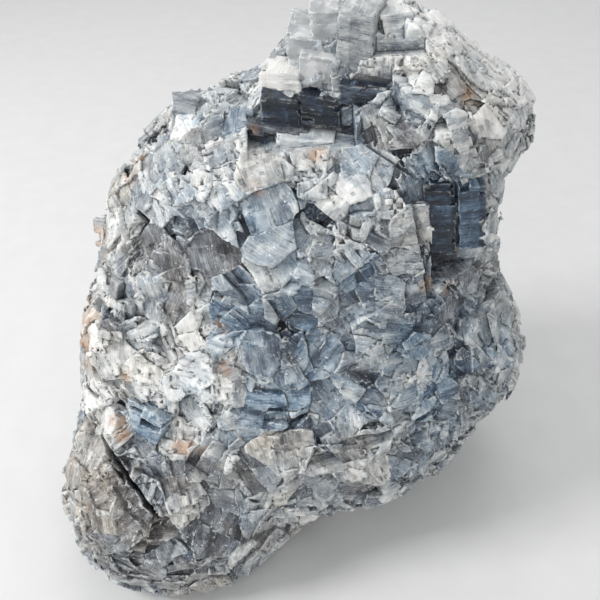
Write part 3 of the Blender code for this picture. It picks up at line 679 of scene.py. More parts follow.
def seen_at(form, pixels):
    """Where the photograph's lines of sight first meet the form, and how far away that is."""
    right, up, ahead = camera_axes()
    length = CAMERA_LENS / SENSOR * PHOTO_EDGE
    across, down = (pixels - PHOTO_EDGE / 2).T
    lines = np.outer(across, right) - np.outer(down, up) + ahead * length
    lines /= np.linalg.norm(lines, axis=1, keepdims=True)
    far = np.arange(*SIGHT_REACH, SIGHT_STEP)
    spots = CAMERA_SPOT + lines[:, None] * far[None, :, None]
    depth = form.read(spots.reshape(-1, 3)).reshape(spots.shape[:2])
    inside = depth < 0
    first = np.where(inside.any(axis=1), inside.argmax(axis=1), depth.argmin(axis=1))
    return spots[np.arange(len(first)), first], far[first] / length


class Splinters(Lattice):
    """Smaller crystals within the grains: those seen in the photograph, and scattered ones between them."""

    def __init__(self, grains, form):
        rng = np.random.default_rng(RANDOM_SEED + 1)
        seeds = self.scatter(*SCATTER_BOX, SPLINTER_SPACING)
        seeds = seeds + rng.uniform(-SPLINTER_JITTER, SPLINTER_JITTER, seeds.shape) * SPLINTER_SPACING
        total = len(seeds)
        table = list(SPLINTER_KINDS.values())
        names = list(SPLINTER_KINDS)
        kinds = np.searchsorted(np.cumsum([kind[0] for kind in table]), rng.uniform(0, 1, total))
        turned = rng.uniform(0, 1, total) < TURNED_SHARE
        lean = rng.normal(0, SPLINTER_TILT, seeds.shape)
        spins = rng.uniform(0, math.tau, total)
        draws = rng.uniform(0, 1, (total, 3))
        sizes = rng.uniform(*SPLINTER_SIZE, total)
        proud = rng.uniform(-SPLINTER_PROUD, SPLINTER_PROUD, total)
        tones = np.clip(rng.normal(0, 1, (total, 2)), -TONE_LIMIT, TONE_LIMIT)
        seen = np.array([feature[:6] + feature[7:] for feature in FEATURES], float)
        spots, scale = seen_at(form, seen[:, :2])
        reach = seen[:, 2] * scale
        near = np.abs(form.read(seeds)) < SPLINTER_SPACING + SPLINTER_BAND
        for spot, radius in zip(spots, reach):
            near &= ((seeds - spot) ** 2).sum(axis=1) > (FEATURE_PULL * radius + FEATURE_GAP) ** 2
        seeds = seeds[near]
        turned = turned[near]
        kinds = np.minimum(kinds[near], len(names) - 1)
        parent = grains.owner(seeds)
        normals = grains.normal[parent]
        shared = np.stack([lottery(parent, kinds, np.full(len(parent), k)) for k in range(3)], axis=1)
        draws = np.where(turned[:, None], draws[near], shared)
        slopes = form.slope(seeds) + lean[near]
        for row in np.flatnonzero(turned):
            normals[row] = [tuple(n) for n in cleavage_normals(Vector(slopes[row]), spins[near][row])]
        faces = form.slope(spots)
        shown = []
        for feature, face, ledged in zip(seen, faces, [feature[6] == "ledges" for feature in FEATURES]):
            lean = 0.0 if ledged else FEATURE_SLOPE
            out = facing_vector(feature[3], feature[4]) * (1 - lean) + Vector(face) * lean
            shown.append([tuple(n) for n in cleavage_normals(out, math.radians(feature[5]))])
        kinds = np.concatenate([kinds, [names.index(feature[6]) for feature in FEATURES]])
        draws = np.vstack([draws, np.full((len(seen), 3), FEATURE_STEP)])
        ranges = np.array([kind[1] for kind in table], float)[kinds]
        steps = ranges[:, :, 0] + (ranges[:, :, 1] - ranges[:, :, 0]) * draws
        weights = np.concatenate([sizes[near] ** 2, (FEATURE_PULL * reach) ** 2])
        places = np.vstack([seeds, spots])
        self.named = np.arange(len(kinds)) >= len(seeds)
        joined = np.concatenate([~turned, np.zeros(len(seen), bool)])
        parent = np.concatenate([parent, np.zeros(len(seen), int)])
        middles = places + bend(places)
        anchors = np.where(joined[:, None], grains.seed[parent], middles)
        groups = np.where(joined, parent, len(grains.seed) + np.arange(len(kinds)))
        self.settle(form, middles, weights, np.vstack([normals, shown]), steps, anchors, groups)
        self.roofed = np.array([kind[3] for kind in table])[kinds]
        self.reach, self.seldom = np.array([kind[2] for kind in table])[kinds].T
        self.reach = self.reach * np.where(self.named, NAMED_REACH, 1.0)
        self.proud = np.concatenate([proud[near] * turned, -seen[:, 8]])
        facing = np.einsum("skc,sc->sk", self.normal, form.slope(places))
        self.roof = np.where(self.named, 0, np.abs(facing).argmax(axis=1))
        rows = np.arange(len(kinds))
        self.out = self.normal[rows, self.roof] * np.sign(facing[rows, self.roof])[:, None]
        level = ((middles - anchors) * self.out).sum(axis=1) - form.read(places) * ~self.named
        self.level = np.where(joined, np.round(level / ROOF_STEP) * ROOF_STEP, level)
        self.spots = spots
        self.shown = seen[:, 6:8]
        spread = np.vstack([tones[near] * TONE_SPREAD, np.zeros((len(seen), 2))])
        self.look = np.clip(self.look_near(places) + spread, 0, 1)
        self.look[self.named] = self.shown

    def look_near(self, places):
        """Tone and warmth of the stone around places, from the crystals seen nearby."""
        gap = (places ** 2).sum(axis=1)[:, None] - 2 * places @ self.spots.T + (self.spots ** 2).sum(axis=1)
        pull = np.exp(-gap / LOOK_REACH ** 2)
        base = PLAIN_PULL * np.array([PLAIN_TONE, PLAIN_WARMTH])
        return (pull @ self.shown + base) / (pull.sum(axis=1, keepdims=True) + PLAIN_PULL)


class FormGrid:
    """The smooth form sampled once on a coarse grid, so that it can be read quickly anywhere."""

    def __init__(self):
        self.low, high = np.array(FORM_BOX)
        self.size = np.ceil((high - self.low) / FORM_GRID).astype(int) + 1
        points = grid_points(grid_ticks(self.low, FORM_GRID, self.size))
        pieces = np.array_split(points, FORM_PARTS)
        with ThreadPoolExecutor(THREADS) as pool:
            self.values = np.concatenate(list(pool.map(form_depth, pieces)))

    def read(self, points):
        """Distance outside the form at each point."""
        place = (points - self.low) / FORM_GRID
        cell = np.clip(np.floor(place).astype(int), 0, self.size - 2)
        part = np.clip(place - cell, 0, 1)
        ny, nz = self.size[1], self.size[2]
        base = (cell[:, 0] * ny + cell[:, 1]) * nz + cell[:, 2]
        fx, fy, fz = part[:, 0], part[:, 1], part[:, 2]
        total = np.zeros(len(points))
        for dx in (0, 1):
            wx = fx if dx else 1 - fx
            for dy in (0, 1):
                wxy = wx * (fy if dy else 1 - fy)
                row = base + (dx * ny + dy) * nz
                total += wxy * (self.values[row] * (1 - fz) + self.values[row + 1] * fz)
        return total

    def slope(self, points):
        """Outward direction of the form at each point."""
        return slope_of(self.read, points, GRID_PROBE)


def shape_planes(centre, edges, facing, spin):
    """Centre, the three face normals and half thicknesses of a rhomb block."""
    front, right, top = cleavage_normals(facing_vector(*facing), math.radians(spin))
    across = front.cross(top).normalized() * edges[0]
    deep = right.cross(top).normalized() * edges[1]
    high = front.cross(right).normalized() * edges[2]
    normals = np.array([tuple(right), tuple(front), tuple(top)])
    reach = [abs(right.dot(across)) / 2, abs(front.dot(deep)) / 2, abs(top.dot(high)) / 2]
    return np.array(centre, float), normals, np.array(reach)


def blade_planes(name):
    """A crack's wedge as planes: points on them and outward normals."""
    start, end, width, depth = CRACKS[name]
    start, end = np.array(start, float), np.array(end, float)
    along = (end - start) / np.linalg.norm(end - start)
    middle = (start + end) / 2
    outward = form_slope(middle[None])[0]
    side = np.cross(along, outward)
    side /= np.linalg.norm(side)
    outward = np.cross(side, along)
    lean = width * (1.0 - CRACK_FLOOR / 2) / (2 * depth)
    planes = []
    for sign in (-1, 1):
        normal = side * sign - outward * lean
        spot = middle + side * sign * width * (1 + CRACK_FLOOR / 2) / 2
        planes.append((spot, normal / np.linalg.norm(normal)))
    planes.append((middle - outward * depth, -outward))
    for sign in (-1, 1):
        planes.append((middle + along * sign * np.linalg.norm(end - start) / 2, along * sign))
    return planes


# ------------------------------------------------------------------ where the stone is solid


class Stone:
    """Says at any place whether the stone is solid there, and which plane ends it."""

    def __init__(self, share):
        self.share = share
        self.form = FormGrid()
        self.grains = Crystals(self.form)
        self.splinters = Splinters(self.grains, self.form)
        self.blocks = {name: shape_planes(*values) for name, values in BLOCKS.items()}
        self.blades = [blade_planes(name) for name in CRACKS]
        marks = np.array(STAINS_SEEN, float)
        self.stains = list(zip(seen_at(self.form, marks[:, :2])[0], marks[:, 2]))

    def grain_state(self, points):
        """Depth outside the broken crystal surface, with the crystals and cleavage blocks of each point."""
        bent = points + bend(points)
        owner = self.grains.owner(bent)
        centre, coarse = self.grains.cells(bent, owner)
        inner = self.splinters.owner(bent)
        middle, fine = self.splinters.cells(bent, inner)
        share = np.where(self.splinters.named[inner], FEATURE_SHARE, self.share)
        rough = lottery(coarse[:, 0], coarse[:, 1], coarse[:, 2], owner) - 0.5
        depth = GRAIN_WEIGHT * self.grains.proud[owner] + self.splinters.proud[inner] - SKIN_LIFT
        depth += share * (self.form.read(centre - bend(centre, high=False)) + CELL_STEP * rough)
        roofed = self.splinters.roofed[inner]
        fine[np.arange(len(fine)), self.splinters.roof[inner]] *= ~roofed
        broken = lottery(fine[:, 0], fine[:, 1], fine[:, 2], self.splinters.group[inner])
        broken = broken ** self.splinters.seldom[inner] - 1 / (1 + self.splinters.seldom[inner])
        depth += self.splinters.reach[inner] * broken
        gap = ((bent - self.splinters.anchor[inner]) * self.splinters.out[inner]).sum(axis=1)
        gap -= self.splinters.level[inner]
        blocky = np.flatnonzero(~roofed)
        gap[blocky] = self.form.read(middle[blocky] - bend(middle[blocky], high=False))
        depth += (1 - share) * gap
        form = self.form.read(points)
        proud = np.where(self.splinters.named[inner], NAMED_PROUD, MOST_PROUD)
        depth = np.clip(depth, form - proud, form + MOST_SUNK)
        return depth, owner, coarse, inner, fine

    def block_state(self, name, points):
        """Whether points are in a block, how far outside its faces, and their thin cleavage cells."""
        centre, normals, reach = self.blocks[name]
        key = list(BLOCKS).index(name)
        place = (points - centre) @ normals.T
        cell = np.floor(place / BLOCK_CELL + BLOCK_OFFSET * key)
        key = np.full(len(points), key)
        edge = np.empty_like(place)
        for family in range(3):
            stack = cell[:, (family + 1) % 3] if family == 2 else cell[:, 2]
            notch = lottery(stack, key, np.sign(place[:, family]) + family * 3) ** 2 * BLOCK_NOTCH
            edge[:, family] = np.abs(place[:, family]) - reach[family] + notch * (family != 2)
        middle = np.abs((cell - BLOCK_OFFSET * key[:, None] + 0.5) * BLOCK_CELL)
        close = (reach - middle < BLOCK_CHIP).sum(axis=1)
        chipped = (close > 1) & (lottery(cell[:, 0], cell[:, 1], cell[:, 2], key) > BLOCK_WHOLE)
        return (edge < 0).all(axis=1) & ~chipped, edge, cell

    def in_clearing(self, points):
        """Which clearing each point lies in, or -1."""
        found = np.full(len(points), -1)
        for index, (centre, edges) in enumerate(CLEARINGS.values()):
            found[in_box(points, centre, edges)] = index
        return found

    def in_blade(self, points):
        """Which crack each point lies in, or -1."""
        found = np.full(len(points), -1)
        for index, planes in enumerate(self.blades):
            inside = np.ones(len(points), bool)
            for spot, normal in planes:
                inside &= (points - spot) @ normal < 0
            found[inside] = index
        return found

    def block_of(self, points, names):
        """Which of the named blocks each point lies in, or -1."""
        found = np.full(len(points), -1)
        for name in names:
            centre, _, reach = self.blocks[name]
            near = np.flatnonzero((np.abs(points - centre) < reach.sum() * BLOCK_MARGIN).all(axis=1))
            if len(near):
                inside = self.block_state(name, points[near])[0]
                found[near[inside]] = list(BLOCKS).index(name)
        return found

    def solid_at(self, points, names, rest=True):
        """Whether points are inside the stone, counting the named blocks and, if rest, everything else."""
        solid = self.block_of(points, names) >= 0
        if rest:
            body = self.in_clearing(points) < 0
            body[body] = self.grain_state(points[body])[0] < 0
            solid |= body
        return solid & (points[:, 2] > REST_HEIGHT) & (self.in_blade(points) < 0)

    def facet_at(self, inner, outer, names):
        """Normal of the plane between two close points, and what it belongs to."""
        total = len(inner)
        _, owner, coarse, splinter, fine = self.grain_state(inner)
        _, other, coarse_out, splinter_out, fine_out = self.grain_state(outer)
        small, large = self.splinters, self.grains
        stepped, leapt = fine != fine_out, coarse != coarse_out
        tests = (
            (small.out[splinter], np.ones(total, bool), FACE_FINE),
            (small.normal[splinter, stepped.argmax(axis=1)], stepped.any(axis=1), FACE_FINE),
            (small.seed[splinter_out] - small.seed[splinter], splinter != splinter_out, FACE_BORDER),
            (large.normal[owner, leapt.argmax(axis=1)], leapt.any(axis=1), FACE_COARSE),
            (large.seed[other] - large.seed[owner], owner != other, FACE_BORDER),
        )
        normal = np.zeros((total, 3))
        label = np.zeros(total, int)
        for facing, rows, kind in tests:
            normal[rows] = facing[rows]
            label[rows] = kind
        middle = (inner + outer) / 2
        probe = np.eye(3) * BEND_PROBE
        slant = np.stack([bend(middle + step) - bend(middle - step) for step in probe], axis=1)
        normal = normal + np.einsum("pkj,pj->pk", slant / (2 * BEND_PROBE), normal)
        level = self.form.read(middle)
        limits = np.array([[MOST_PROUD, NAMED_PROUD, -MOST_SUNK]])
        rows = np.flatnonzero((np.abs(level[:, None] - limits) < LEVEL_TOUCH).any(axis=1))
        normal[rows] = self.form.slope(middle[rows])
        family = np.where(stepped.any(axis=1), stepped.argmax(axis=1), small.roof[splinter])
        family = np.where(label == FACE_COARSE, leapt.argmax(axis=1), family)
        block = self.block_of(inner, names)
        for name in names:
            index = list(BLOCKS).index(name)
            rows = np.flatnonzero(block == index)
            if len(rows) == 0:
                continue
            _, edge, cell_out = self.block_state(name, outer[rows])
            _, _, cell_in = self.block_state(name, inner[rows])
            moved = cell_in != cell_out
            side = np.where(moved.any(axis=1), moved.argmax(axis=1), edge.argmax(axis=1))
            normal[rows] = self.blocks[name][1][side]
            family[rows] = side
            owner[rows] = -1 - index
            coarse[rows] = cell_in
            fine[rows] = 0
            label[rows] = FACE_BLOCK
        clearing = self.in_clearing(outer)
        rows = np.flatnonzero((clearing >= 0) & (block < 0))
        boxes = list(CLEARINGS.values())
        middle = np.array([boxes[index][0] for index in clearing[rows]], float).reshape(-1, 3)
        edges = np.array([boxes[index][1] for index in clearing[rows]], float).reshape(-1, 3)
        normal[rows] = np.eye(3)[(edges / 2 - np.abs(outer[rows] - middle)).argmin(axis=1)]
        blade = self.in_blade(outer)
        for index, planes in enumerate(self.blades):
            rows = np.flatnonzero(blade == index)
            if len(rows):
                gaps = np.stack([(inner[rows] - spot) @ facing for spot, facing in planes], axis=1)
                normal[rows] = np.array([facing for _, facing in planes])[gaps.argmax(axis=1)]
                label[rows] = FACE_CRACK
        ground = outer[:, 2] <= REST_HEIGHT
        normal[ground] = (0.0, 0.0, 1.0)
        label[ground] = FACE_GROUND
        return {"normal": unit(normal), "owner": owner, "family": family, "coarse": coarse,
                "splinter": splinter, "fine": fine, "label": label}


# ------------------------------------------------------------------ from solid places to a mesh


def in_parts(task, *arrays, length=PART_LENGTH):
    """Run a task over slices of long arrays at once, and join what it gives."""
    count = max(1, len(arrays[0]) // length + 1)
    slices = list(zip(*[np.array_split(array, count) for array in arrays]))
    with ThreadPoolExecutor(THREADS) as pool:
        results = list(pool.map(lambda parts: task(*parts), slices))
    if isinstance(results[0], dict):
        return {key: np.concatenate([result[key] for result in results]) for key in results[0]}
    return np.concatenate(results)


def fill_volume(stone, grid, names):
    """Grid points that lie inside the stone, as a block of true and false values."""
    low, high = np.array(FILL_BOX)
    low += FILL_SHIFT * grid
    size = np.ceil((high - low) / grid).astype(int) + 1
    ticks = grid_ticks(low, grid, size)
    depth = stone.form.values.reshape(stone.form.size)
    for axis in range(3):
        place = (ticks[axis] - stone.form.low[axis]) / FORM_GRID
        base = np.floor(place).astype(int)
        part = np.expand_dims(place - base, [other for other in range(3) if other != axis])
        depth = np.take(depth, base, axis) * (1 - part) + np.take(depth, base + 1, axis) * part
        depth = depth.astype(np.float32)
    solid = depth < 0
    rows = np.flatnonzero(np.abs(depth) < BAND)
    del depth

    def spots(index):
        place = np.stack(np.unravel_index(index, tuple(size)), axis=1)
        return low + grid * place

    solid.flat[rows] = in_parts(lambda index: stone.grain_state(spots(index))[0] < 0, rows)

    def window(centre, reach):
        first = np.clip(np.floor((centre - reach - low) / grid).astype(int), 0, size)
        last = np.clip(np.ceil((centre + reach - low) / grid).astype(int) + 1, 0, size)
        cut = tuple(slice(a, b) for a, b in zip(first, last))
        return cut, grid_points([ticks[k][cut[k]] for k in range(3)])

    for centre, edges in CLEARINGS.values():
        cut, points = window(np.array(centre, float), np.array(edges) / 2)
        solid[cut] &= ~in_box(points, centre, edges).reshape(solid[cut].shape)
    for name in names:
        centre, _, reach = stone.blocks[name]
        cut, points = window(centre, reach.sum() * BLOCK_MARGIN)
        solid[cut] |= stone.block_state(name, points)[0].reshape(solid[cut].shape)
    for name in CRACKS:
        start, end = (np.array(spot, float) for spot in CRACKS[name][:2])
        cut, points = window((start + end) / 2, np.abs(end - start) / 2 + CRACK_MARGIN)
        solid[cut] &= (stone.in_blade(points) < 0).reshape(solid[cut].shape)
    solid[:, :, ticks[2] <= REST_HEIGHT] = False
    for axis in range(3):
        np.moveaxis(solid, axis, 0)[[0, -1]] = False
    return solid, low


def contour(solid, low, grid, solid_at, facet_at):
    """The surface between solid and empty grid points, with the crystals' edges kept sharp."""
    size = np.array(solid.shape)
    starts, ends, below, rings = [], [], [], []
    for axis in range(3):
        first = [slice(None)] * 3
        second = [slice(None)] * 3
        first[axis] = slice(0, -1)
        second[axis] = slice(1, None)
        spots = np.stack(np.nonzero(solid[tuple(first)] != solid[tuple(second)]), axis=1)
        starts.append(low + grid * spots)
        ends.append(starts[-1] + grid * np.eye(3)[axis])
        below.append(solid[tuple(spots.T)])
        one, two = np.eye(3, dtype=int)[(axis + 1) % 3], np.eye(3, dtype=int)[(axis + 2) % 3]
        ring = [spots - one - two, spots - two, spots, spots - one]
        rings.append(np.stack([(r[:, 0] * size[1] + r[:, 1]) * size[2] + r[:, 2] for r in ring], axis=1))
    starts, ends, below, rings = (np.concatenate(thing) for thing in (starts, ends, below, rings))
    inner = np.where(below[:, None], starts, ends)
    outer = np.where(below[:, None], ends, starts)

    def settle(inner, outer):
        for _ in range(HALVINGS):
            middle = (inner + outer) / 2
            still = solid_at(middle)[:, None]
            inner = np.where(still, middle, inner)
            outer = np.where(still, outer, middle)
        return {"inner": inner, "outer": outer} | facet_at(inner, outer)

    facets = in_parts(settle, inner, outer)
    spot = (facets["inner"] + facets["outer"]) / 2
    normal = facets["normal"]
    sign = np.sign(((outer - inner) * normal).sum(axis=1))
    facing = normal * np.where(sign == 0, 1, sign)[:, None]
    cells, corner = np.unique(rings, return_inverse=True)
    corner = corner.reshape(-1, 4)
    middle = low + grid * (np.stack(np.unravel_index(cells, tuple(size)), axis=1) + 0.5)
    total = len(cells)
    flat = corner.T.ravel()
    local = (np.tile(spot, (4, 1)) - middle[flat]) / grid
    facing = np.tile(facing, (4, 1))
    count = np.bincount(flat, minlength=total)

    def gather(values):
        return np.bincount(flat, values, total)

    mean = np.stack([gather(local[:, k]) for k in range(3)], axis=1) / count[:, None]
    level = (facing * local).sum(axis=1)
    wanted = np.stack([gather(facing[:, k] * level) for k in range(3)], axis=1) + HOLD * mean
    matrix = np.empty((total, 3, 3))
    for row in range(3):
        for column in range(row, 3):
            matrix[:, row, column] = gather(facing[:, row] * facing[:, column]) + HOLD * (row == column)
            matrix[:, column, row] = matrix[:, row, column]
    point = np.clip(np.linalg.solve(matrix, wanted[:, :, None])[:, :, 0], -0.5, 0.5)
    outward = unit(np.stack([gather(facing[:, k]) for k in range(3)], axis=1))
    fold = ((point - mean) * outward).sum(axis=1)
    corner = np.where(below[:, None], corner, corner[:, ::-1])
    return middle + grid * point, corner, fold, facets


def largest_body(corner, total):
    """Which points belong to the largest connected body."""
    mark = np.arange(total)
    while True:
        best = mark[corner].min(axis=1)
        new = mark.copy()
        for k in range(4):
            np.minimum.at(new, corner[:, k], best)
        new = new[new]
        if (new == mark).all():
            break
        mark = new
    return mark == np.bincount(mark).argmax()


# ------------------------------------------------------------------ what each face looks like


def stain_of(places, seen):
    """Strength of rusty stain at places."""
    stain = np.zeros(len(places))
    for centre, radius in (*STAINS.values(), *seen):
        gap = ((places - np.array(centre)) ** 2).sum(axis=1) / radius ** 2
        stain = np.maximum(stain, np.exp(-gap))
    return stain


def face_values(stone, points, corner, facets):
    """Random tones, the trace directions and the local look of every face."""
    owner, splinter, coarse, fine, label = (
        facets[key] for key in ("owner", "splinter", "coarse", "fine", "label"))
    block = owner < 0
    grain = np.where(block, 0, owner)
    own = np.where(block, 0, splinter + 1)
    tones = np.stack([
        lottery(owner + 40, owner * 3 + 1),
        lottery(owner + 40, own * 7 + 3, np.where(block, coarse[:, 2], 0)),
        lottery(fine[:, 0] + 1, fine[:, 1] + 2, fine[:, 2] + 3, own, coarse[:, 0] * block),
    ], axis=1)
    centre = points[corner].mean(axis=1)
    small = label == FACE_FINE
    seed = np.where(small[:, None], stone.splinters.seed[splinter], stone.grains.seed[grain])
    family = facets["family"]
    trio = np.where(small[:, None, None], stone.splinters.normal[splinter], stone.grains.normal[grain])
    around = in_parts(stone.splinters.look_near, centre)
    look = around * (1 - LOOK_OWN) + stone.splinters.look[splinter] * LOOK_OWN
    look = np.concatenate([look, np.zeros((len(owner), 1))], axis=1)
    for index, name in enumerate(BLOCKS):
        rows = np.flatnonzero(owner == -1 - index)
        if len(rows):
            trio[rows] = stone.blocks[name][1]
            seed[rows] = stone.blocks[name][0]
            look[rows] = (*BLOCK_LOOKS.get(name, (PLAIN_TONE, PLAIN_WARMTH)), 1.0)
    number = np.arange(len(owner))
    out = facets["normal"]
    cross = trio[number, np.where(block, (family + 1) % 3, family == 0)]
    trace = unit(np.cross(out, cross), TRACE_LEAST)
    local = points[corner] - seed[:, None]
    lines = np.stack([
        np.einsum("fcx,fx->fc", local, cross),
        np.einsum("fcx,fx->fc", local, trace),
        np.repeat(tones[:, 1:2] * LINE_SPREAD + family[:, None], 4, axis=1),
    ], axis=2)
    loose = (label != FACE_BLOCK) & (label != FACE_GROUND) & (centre[:, 2] > REST_HEIGHT + CHIP_CLEARANCE)
    return {"facet": tones, "look": look, "side": trace, "lines": lines.reshape(-1, 3),
            "stain": stain_of(centre, stone.stains), "loose": loose.astype(float)}


def new_mesh(name, points, corner, values, edges):
    """A flat-shaded mesh with the stone's attributes."""
    mesh = bpy.data.meshes.new(name)
    mesh.vertices.add(len(points))
    mesh.vertices.foreach_set("co", (points + FORM_SHIFT).ravel() * MM)
    mesh.loops.add(corner.size)
    mesh.loops.foreach_set("vertex_index", corner.ravel().astype(np.int32))
    mesh.polygons.add(len(corner))
    mesh.polygons.foreach_set("loop_start", np.arange(0, corner.size, 4, dtype=np.int32))
    mesh.update(calc_edges=True)
    for key, domain in (("facet", "FACE"), ("look", "FACE"), ("side", "FACE"), ("lines", "CORNER")):
        attribute = mesh.attributes.new(key, "FLOAT_VECTOR", domain)
        attribute.data.foreach_set("vector", values[key].ravel())
    for key in ("stain", "loose"):
        mesh.attributes.new(key, "FLOAT", "FACE").data.foreach_set("value", values[key])
    mesh.attributes.new("edges", "FLOAT_VECTOR", "POINT").data.foreach_set("vector", edges.ravel())
    mesh.validate()
    return mesh


def stone_pieces(stone, grid, names, rest, slabs):
    """Contour the stone, or only the named blocks, and return one mesh for each slab name."""
    solid, low = fill_volume(stone, grid, names) if rest else block_volume(stone, grid, names)
    points, corner, fold, facets = contour(
        solid, low, grid,
        lambda spots: stone.solid_at(spots, names, rest),
        lambda inner, outer: stone.facet_at(inner, outer, names),
    )
    points[:, 2] = np.maximum(points[:, 2], REST_HEIGHT)
    main = largest_body(corner, len(points))
    keep = main[corner[:, 0]]
    corner = corner[keep]
    facets = {key: value[keep] for key, value in facets.items()}
    values = face_values(stone, points, corner, facets)
    # Per point: convex fold (frost and painted edge highlight), concave fold (painted shade in clefts), depth
    # outside the form (painted shade in hollows)
    edges = np.stack([
        np.clip(fold / EDGE_BEND, 0, 1),
        np.clip(-fold / EDGE_BEND, 0, 1),
        stone.form.read(points),
    ], axis=1)
    height = points[corner][:, :, 2].mean(axis=1)
    cuts = np.quantile(height, np.arange(1, len(slabs)) / len(slabs))
    slab = np.searchsorted(cuts, height)
    meshes = []
    for index, name in enumerate(slabs):
        rows = np.flatnonzero(slab == index)
        used, own = np.unique(corner[rows], return_inverse=True)
        chosen = {key: value[rows] for key, value in values.items() if key != "lines"}
        chosen["lines"] = values["lines"].reshape(-1, 4, 3)[rows].reshape(-1, 3)
        meshes.append(new_mesh(name, points[used], own.reshape(-1, 4), chosen, edges[used]))
    return meshes


def block_volume(stone, grid, names):
    """Grid points inside the named blocks alone."""
    centres = np.array([stone.blocks[name][0] for name in names])
    reach = max(stone.blocks[name][2].sum() for name in names) * BLOCK_MARGIN + 2 * grid
    low = centres.min(axis=0) - reach
    size = np.ceil((centres.max(axis=0) + reach - low) / grid).astype(int) + 1
    points = grid_points(grid_ticks(low, grid, size))
    solid = stone.solid_at(points, names, False).reshape(size)
    return solid, low


# ------------------------------------------------------------------ materials


class Graph:
    """Short ways to add nodes to a tree."""

    def __init__(self, tree):
        self.nodes = tree.nodes
        self.links = tree.links

    def feed(self, socket, value):
        """Set a socket, or link it when the value is another socket."""
        if isinstance(value, bpy.types.NodeSocket):
            self.links.new(value, socket)
        elif value is not None:
            socket.default_value = value

    def add(self, kind, inputs=None, **options):
        """A new node with its options and inputs set."""
        node = self.nodes.new(kind)
        for key, value in options.items():
            setattr(node, key, value)
        for key, value in (inputs or {}).items():
            self.feed(node.inputs[key], value)
        return node

    def math(self, operation, one, two=None, three=None, clamp=False):
        """The result of a calculation on numbers."""
        node = self.add("ShaderNodeMath", {0: one, 1: two, 2: three}, operation=operation, use_clamp=clamp)
        return node.outputs[0]

    def stretch(self, vector, factors):
        """A vector times fixed factors."""
        return self.add("ShaderNodeVectorMath", {0: vector, 1: factors}, operation="MULTIPLY").outputs[0]


class Finish(Graph):
    """A material, with short ways to build its pattern."""

    def __init__(self, name):
        self.material = bpy.data.materials.new(name)
        self.material.use_nodes = True
        super().__init__(self.material.node_tree)
        self.shader = self.nodes["Principled BSDF"]
        self.output = self.nodes["Material Output"]
        self.place = self.add("ShaderNodeTexCoord").outputs["Object"]

    def vector(self, name):
        """A named attribute as a vector."""
        return self.add("ShaderNodeAttribute", attribute_name=name).outputs["Vector"]

    def numbers(self, name):
        """A named attribute as its three numbers."""
        return self.add("ShaderNodeSeparateXYZ", {0: self.vector(name)}).outputs

    def noise(self, vector, scale, detail, roughness, distortion=0.0):
        """Smooth random values between 0 and 1."""
        node = self.add("ShaderNodeTexNoise", {
            "Vector": vector, "Scale": scale, "Detail": detail, "Roughness": roughness,
            "Distortion": distortion})
        return node.outputs["Fac"]

    def span(self, value, low, high, start=0.0, end=1.0):
        """A value rescaled smoothly from one range to another."""
        node = self.add("ShaderNodeMapRange", {
            "Value": value, "From Min": low, "From Max": high, "To Min": start, "To Max": end},
            interpolation_type="SMOOTHSTEP")
        return node.outputs[0]

    def swing(self, total, value, share):
        """A total moved up or down by a value between 0 and 1."""
        return self.math("MULTIPLY_ADD", self.math("SUBTRACT", value, 0.5), share, total)

    def ramp(self, value, stops):
        """A colour for each value, from (place, colour) stops."""
        node = self.add("ShaderNodeValToRGB", {0: value})
        elements = node.color_ramp.elements
        while len(elements) < len(stops):
            elements.new(0.5)
        for element, (place, colour) in zip(elements, stops):
            element.position = place
            element.color = (*colour, 1.0)
        return node.outputs[0]

    def mix(self, share, one, two):
        """One colour over another."""
        return self.add("ShaderNodeMix", {0: share, 6: one, 7: two}, data_type="RGBA").outputs[2]

    def set(self, **values):
        """Set or link the shader's own sockets."""
        for name, value in values.items():
            self.feed(self.shader.inputs[name.replace("_", " ")], value)

    def bump(self, height, strength, distance):
        """Low relief too fine for the mesh."""
        node = self.add("ShaderNodeBump", {"Height": height, "Strength": strength, "Distance": distance})
        self.feed(self.shader.inputs["Normal"], node.outputs[0])


def shade(red, green, blue):
    """A colour given as it shows on a display, from 0 to 255, turned into the light it stands for."""
    return tuple(((value / 255 + 0.055) / 1.055) ** 2.4 for value in (red, green, blue))


# Colours from the darkest to the palest stone, for its blue parts and for its beige ones
BLUE_STOPS = (
    (0.00, shade(12, 20, 30)), (0.18, shade(36, 54, 75)), (0.36, shade(80, 104, 127)),
    (0.52, shade(124, 147, 166)), (0.68, shade(168, 184, 196)), (0.84, shade(211, 219, 224)),
    (1.00, shade(242, 243, 242)),
)
BEIGE_STOPS = (
    (0.00, shade(25, 24, 23)), (0.18, shade(74, 68, 62)), (0.36, shade(121, 111, 100)),
    (0.52, shade(157, 147, 135)), (0.68, shade(192, 184, 172)), (0.84, shade(223, 217, 206)),
    (1.00, shade(245, 242, 236)),
)
RUST = (*shade(190, 145, 104), 1.0)
# White of frosted edges and of the painted highlight on them
FROST_AND_HIGHLIGHT = (*shade(228, 231, 230), 1.0)
# Colour of the painted shade in clefts
CLEFT_SHADE = (*shade(48, 55, 62), 1.0)

# Patterns in the stone: scale, detail, roughness, distortion
PATTERNS = {
    "cloud": (110.0, 3.0, 0.6, 0.6),
    "mottle": (520.0, 4.0, 0.7, 0.6),
    "flakes": (1300.0, 2.0, 0.6, 0.3),
    "patch": (280.0, 2.0, 0.6, 0.5),
    "hues": (60.0, 3.0, 0.6, 0.8),
}
# Patterns along each crystal's plates: stretch across, along and between crystals, scale, detail, roughness
STREAKS = ((1.0, 0.05, 10.0), 2.8, 4.0, 0.75)
BANDS = ((1.0, 0.35, 10.0), 0.35, 2.0, 0.5)
# How far the tone goes up and down with each of these
TONE_SWINGS = {"crystal": 0.10, "cell": 0.22, "streaks": 0.75, "bands": 0.60, "cloud": 0.50, "mottle": 0.34}
TONE_GAIN, TONE_LIFT = 1.10, 0.01
RUST_SHARE, FROST_AND_HIGHLIGHT_SHARE, CLEFT_SHADE_SHARE = 0.62, 0.65, 0.8
CALCITE_IOR = 1.6


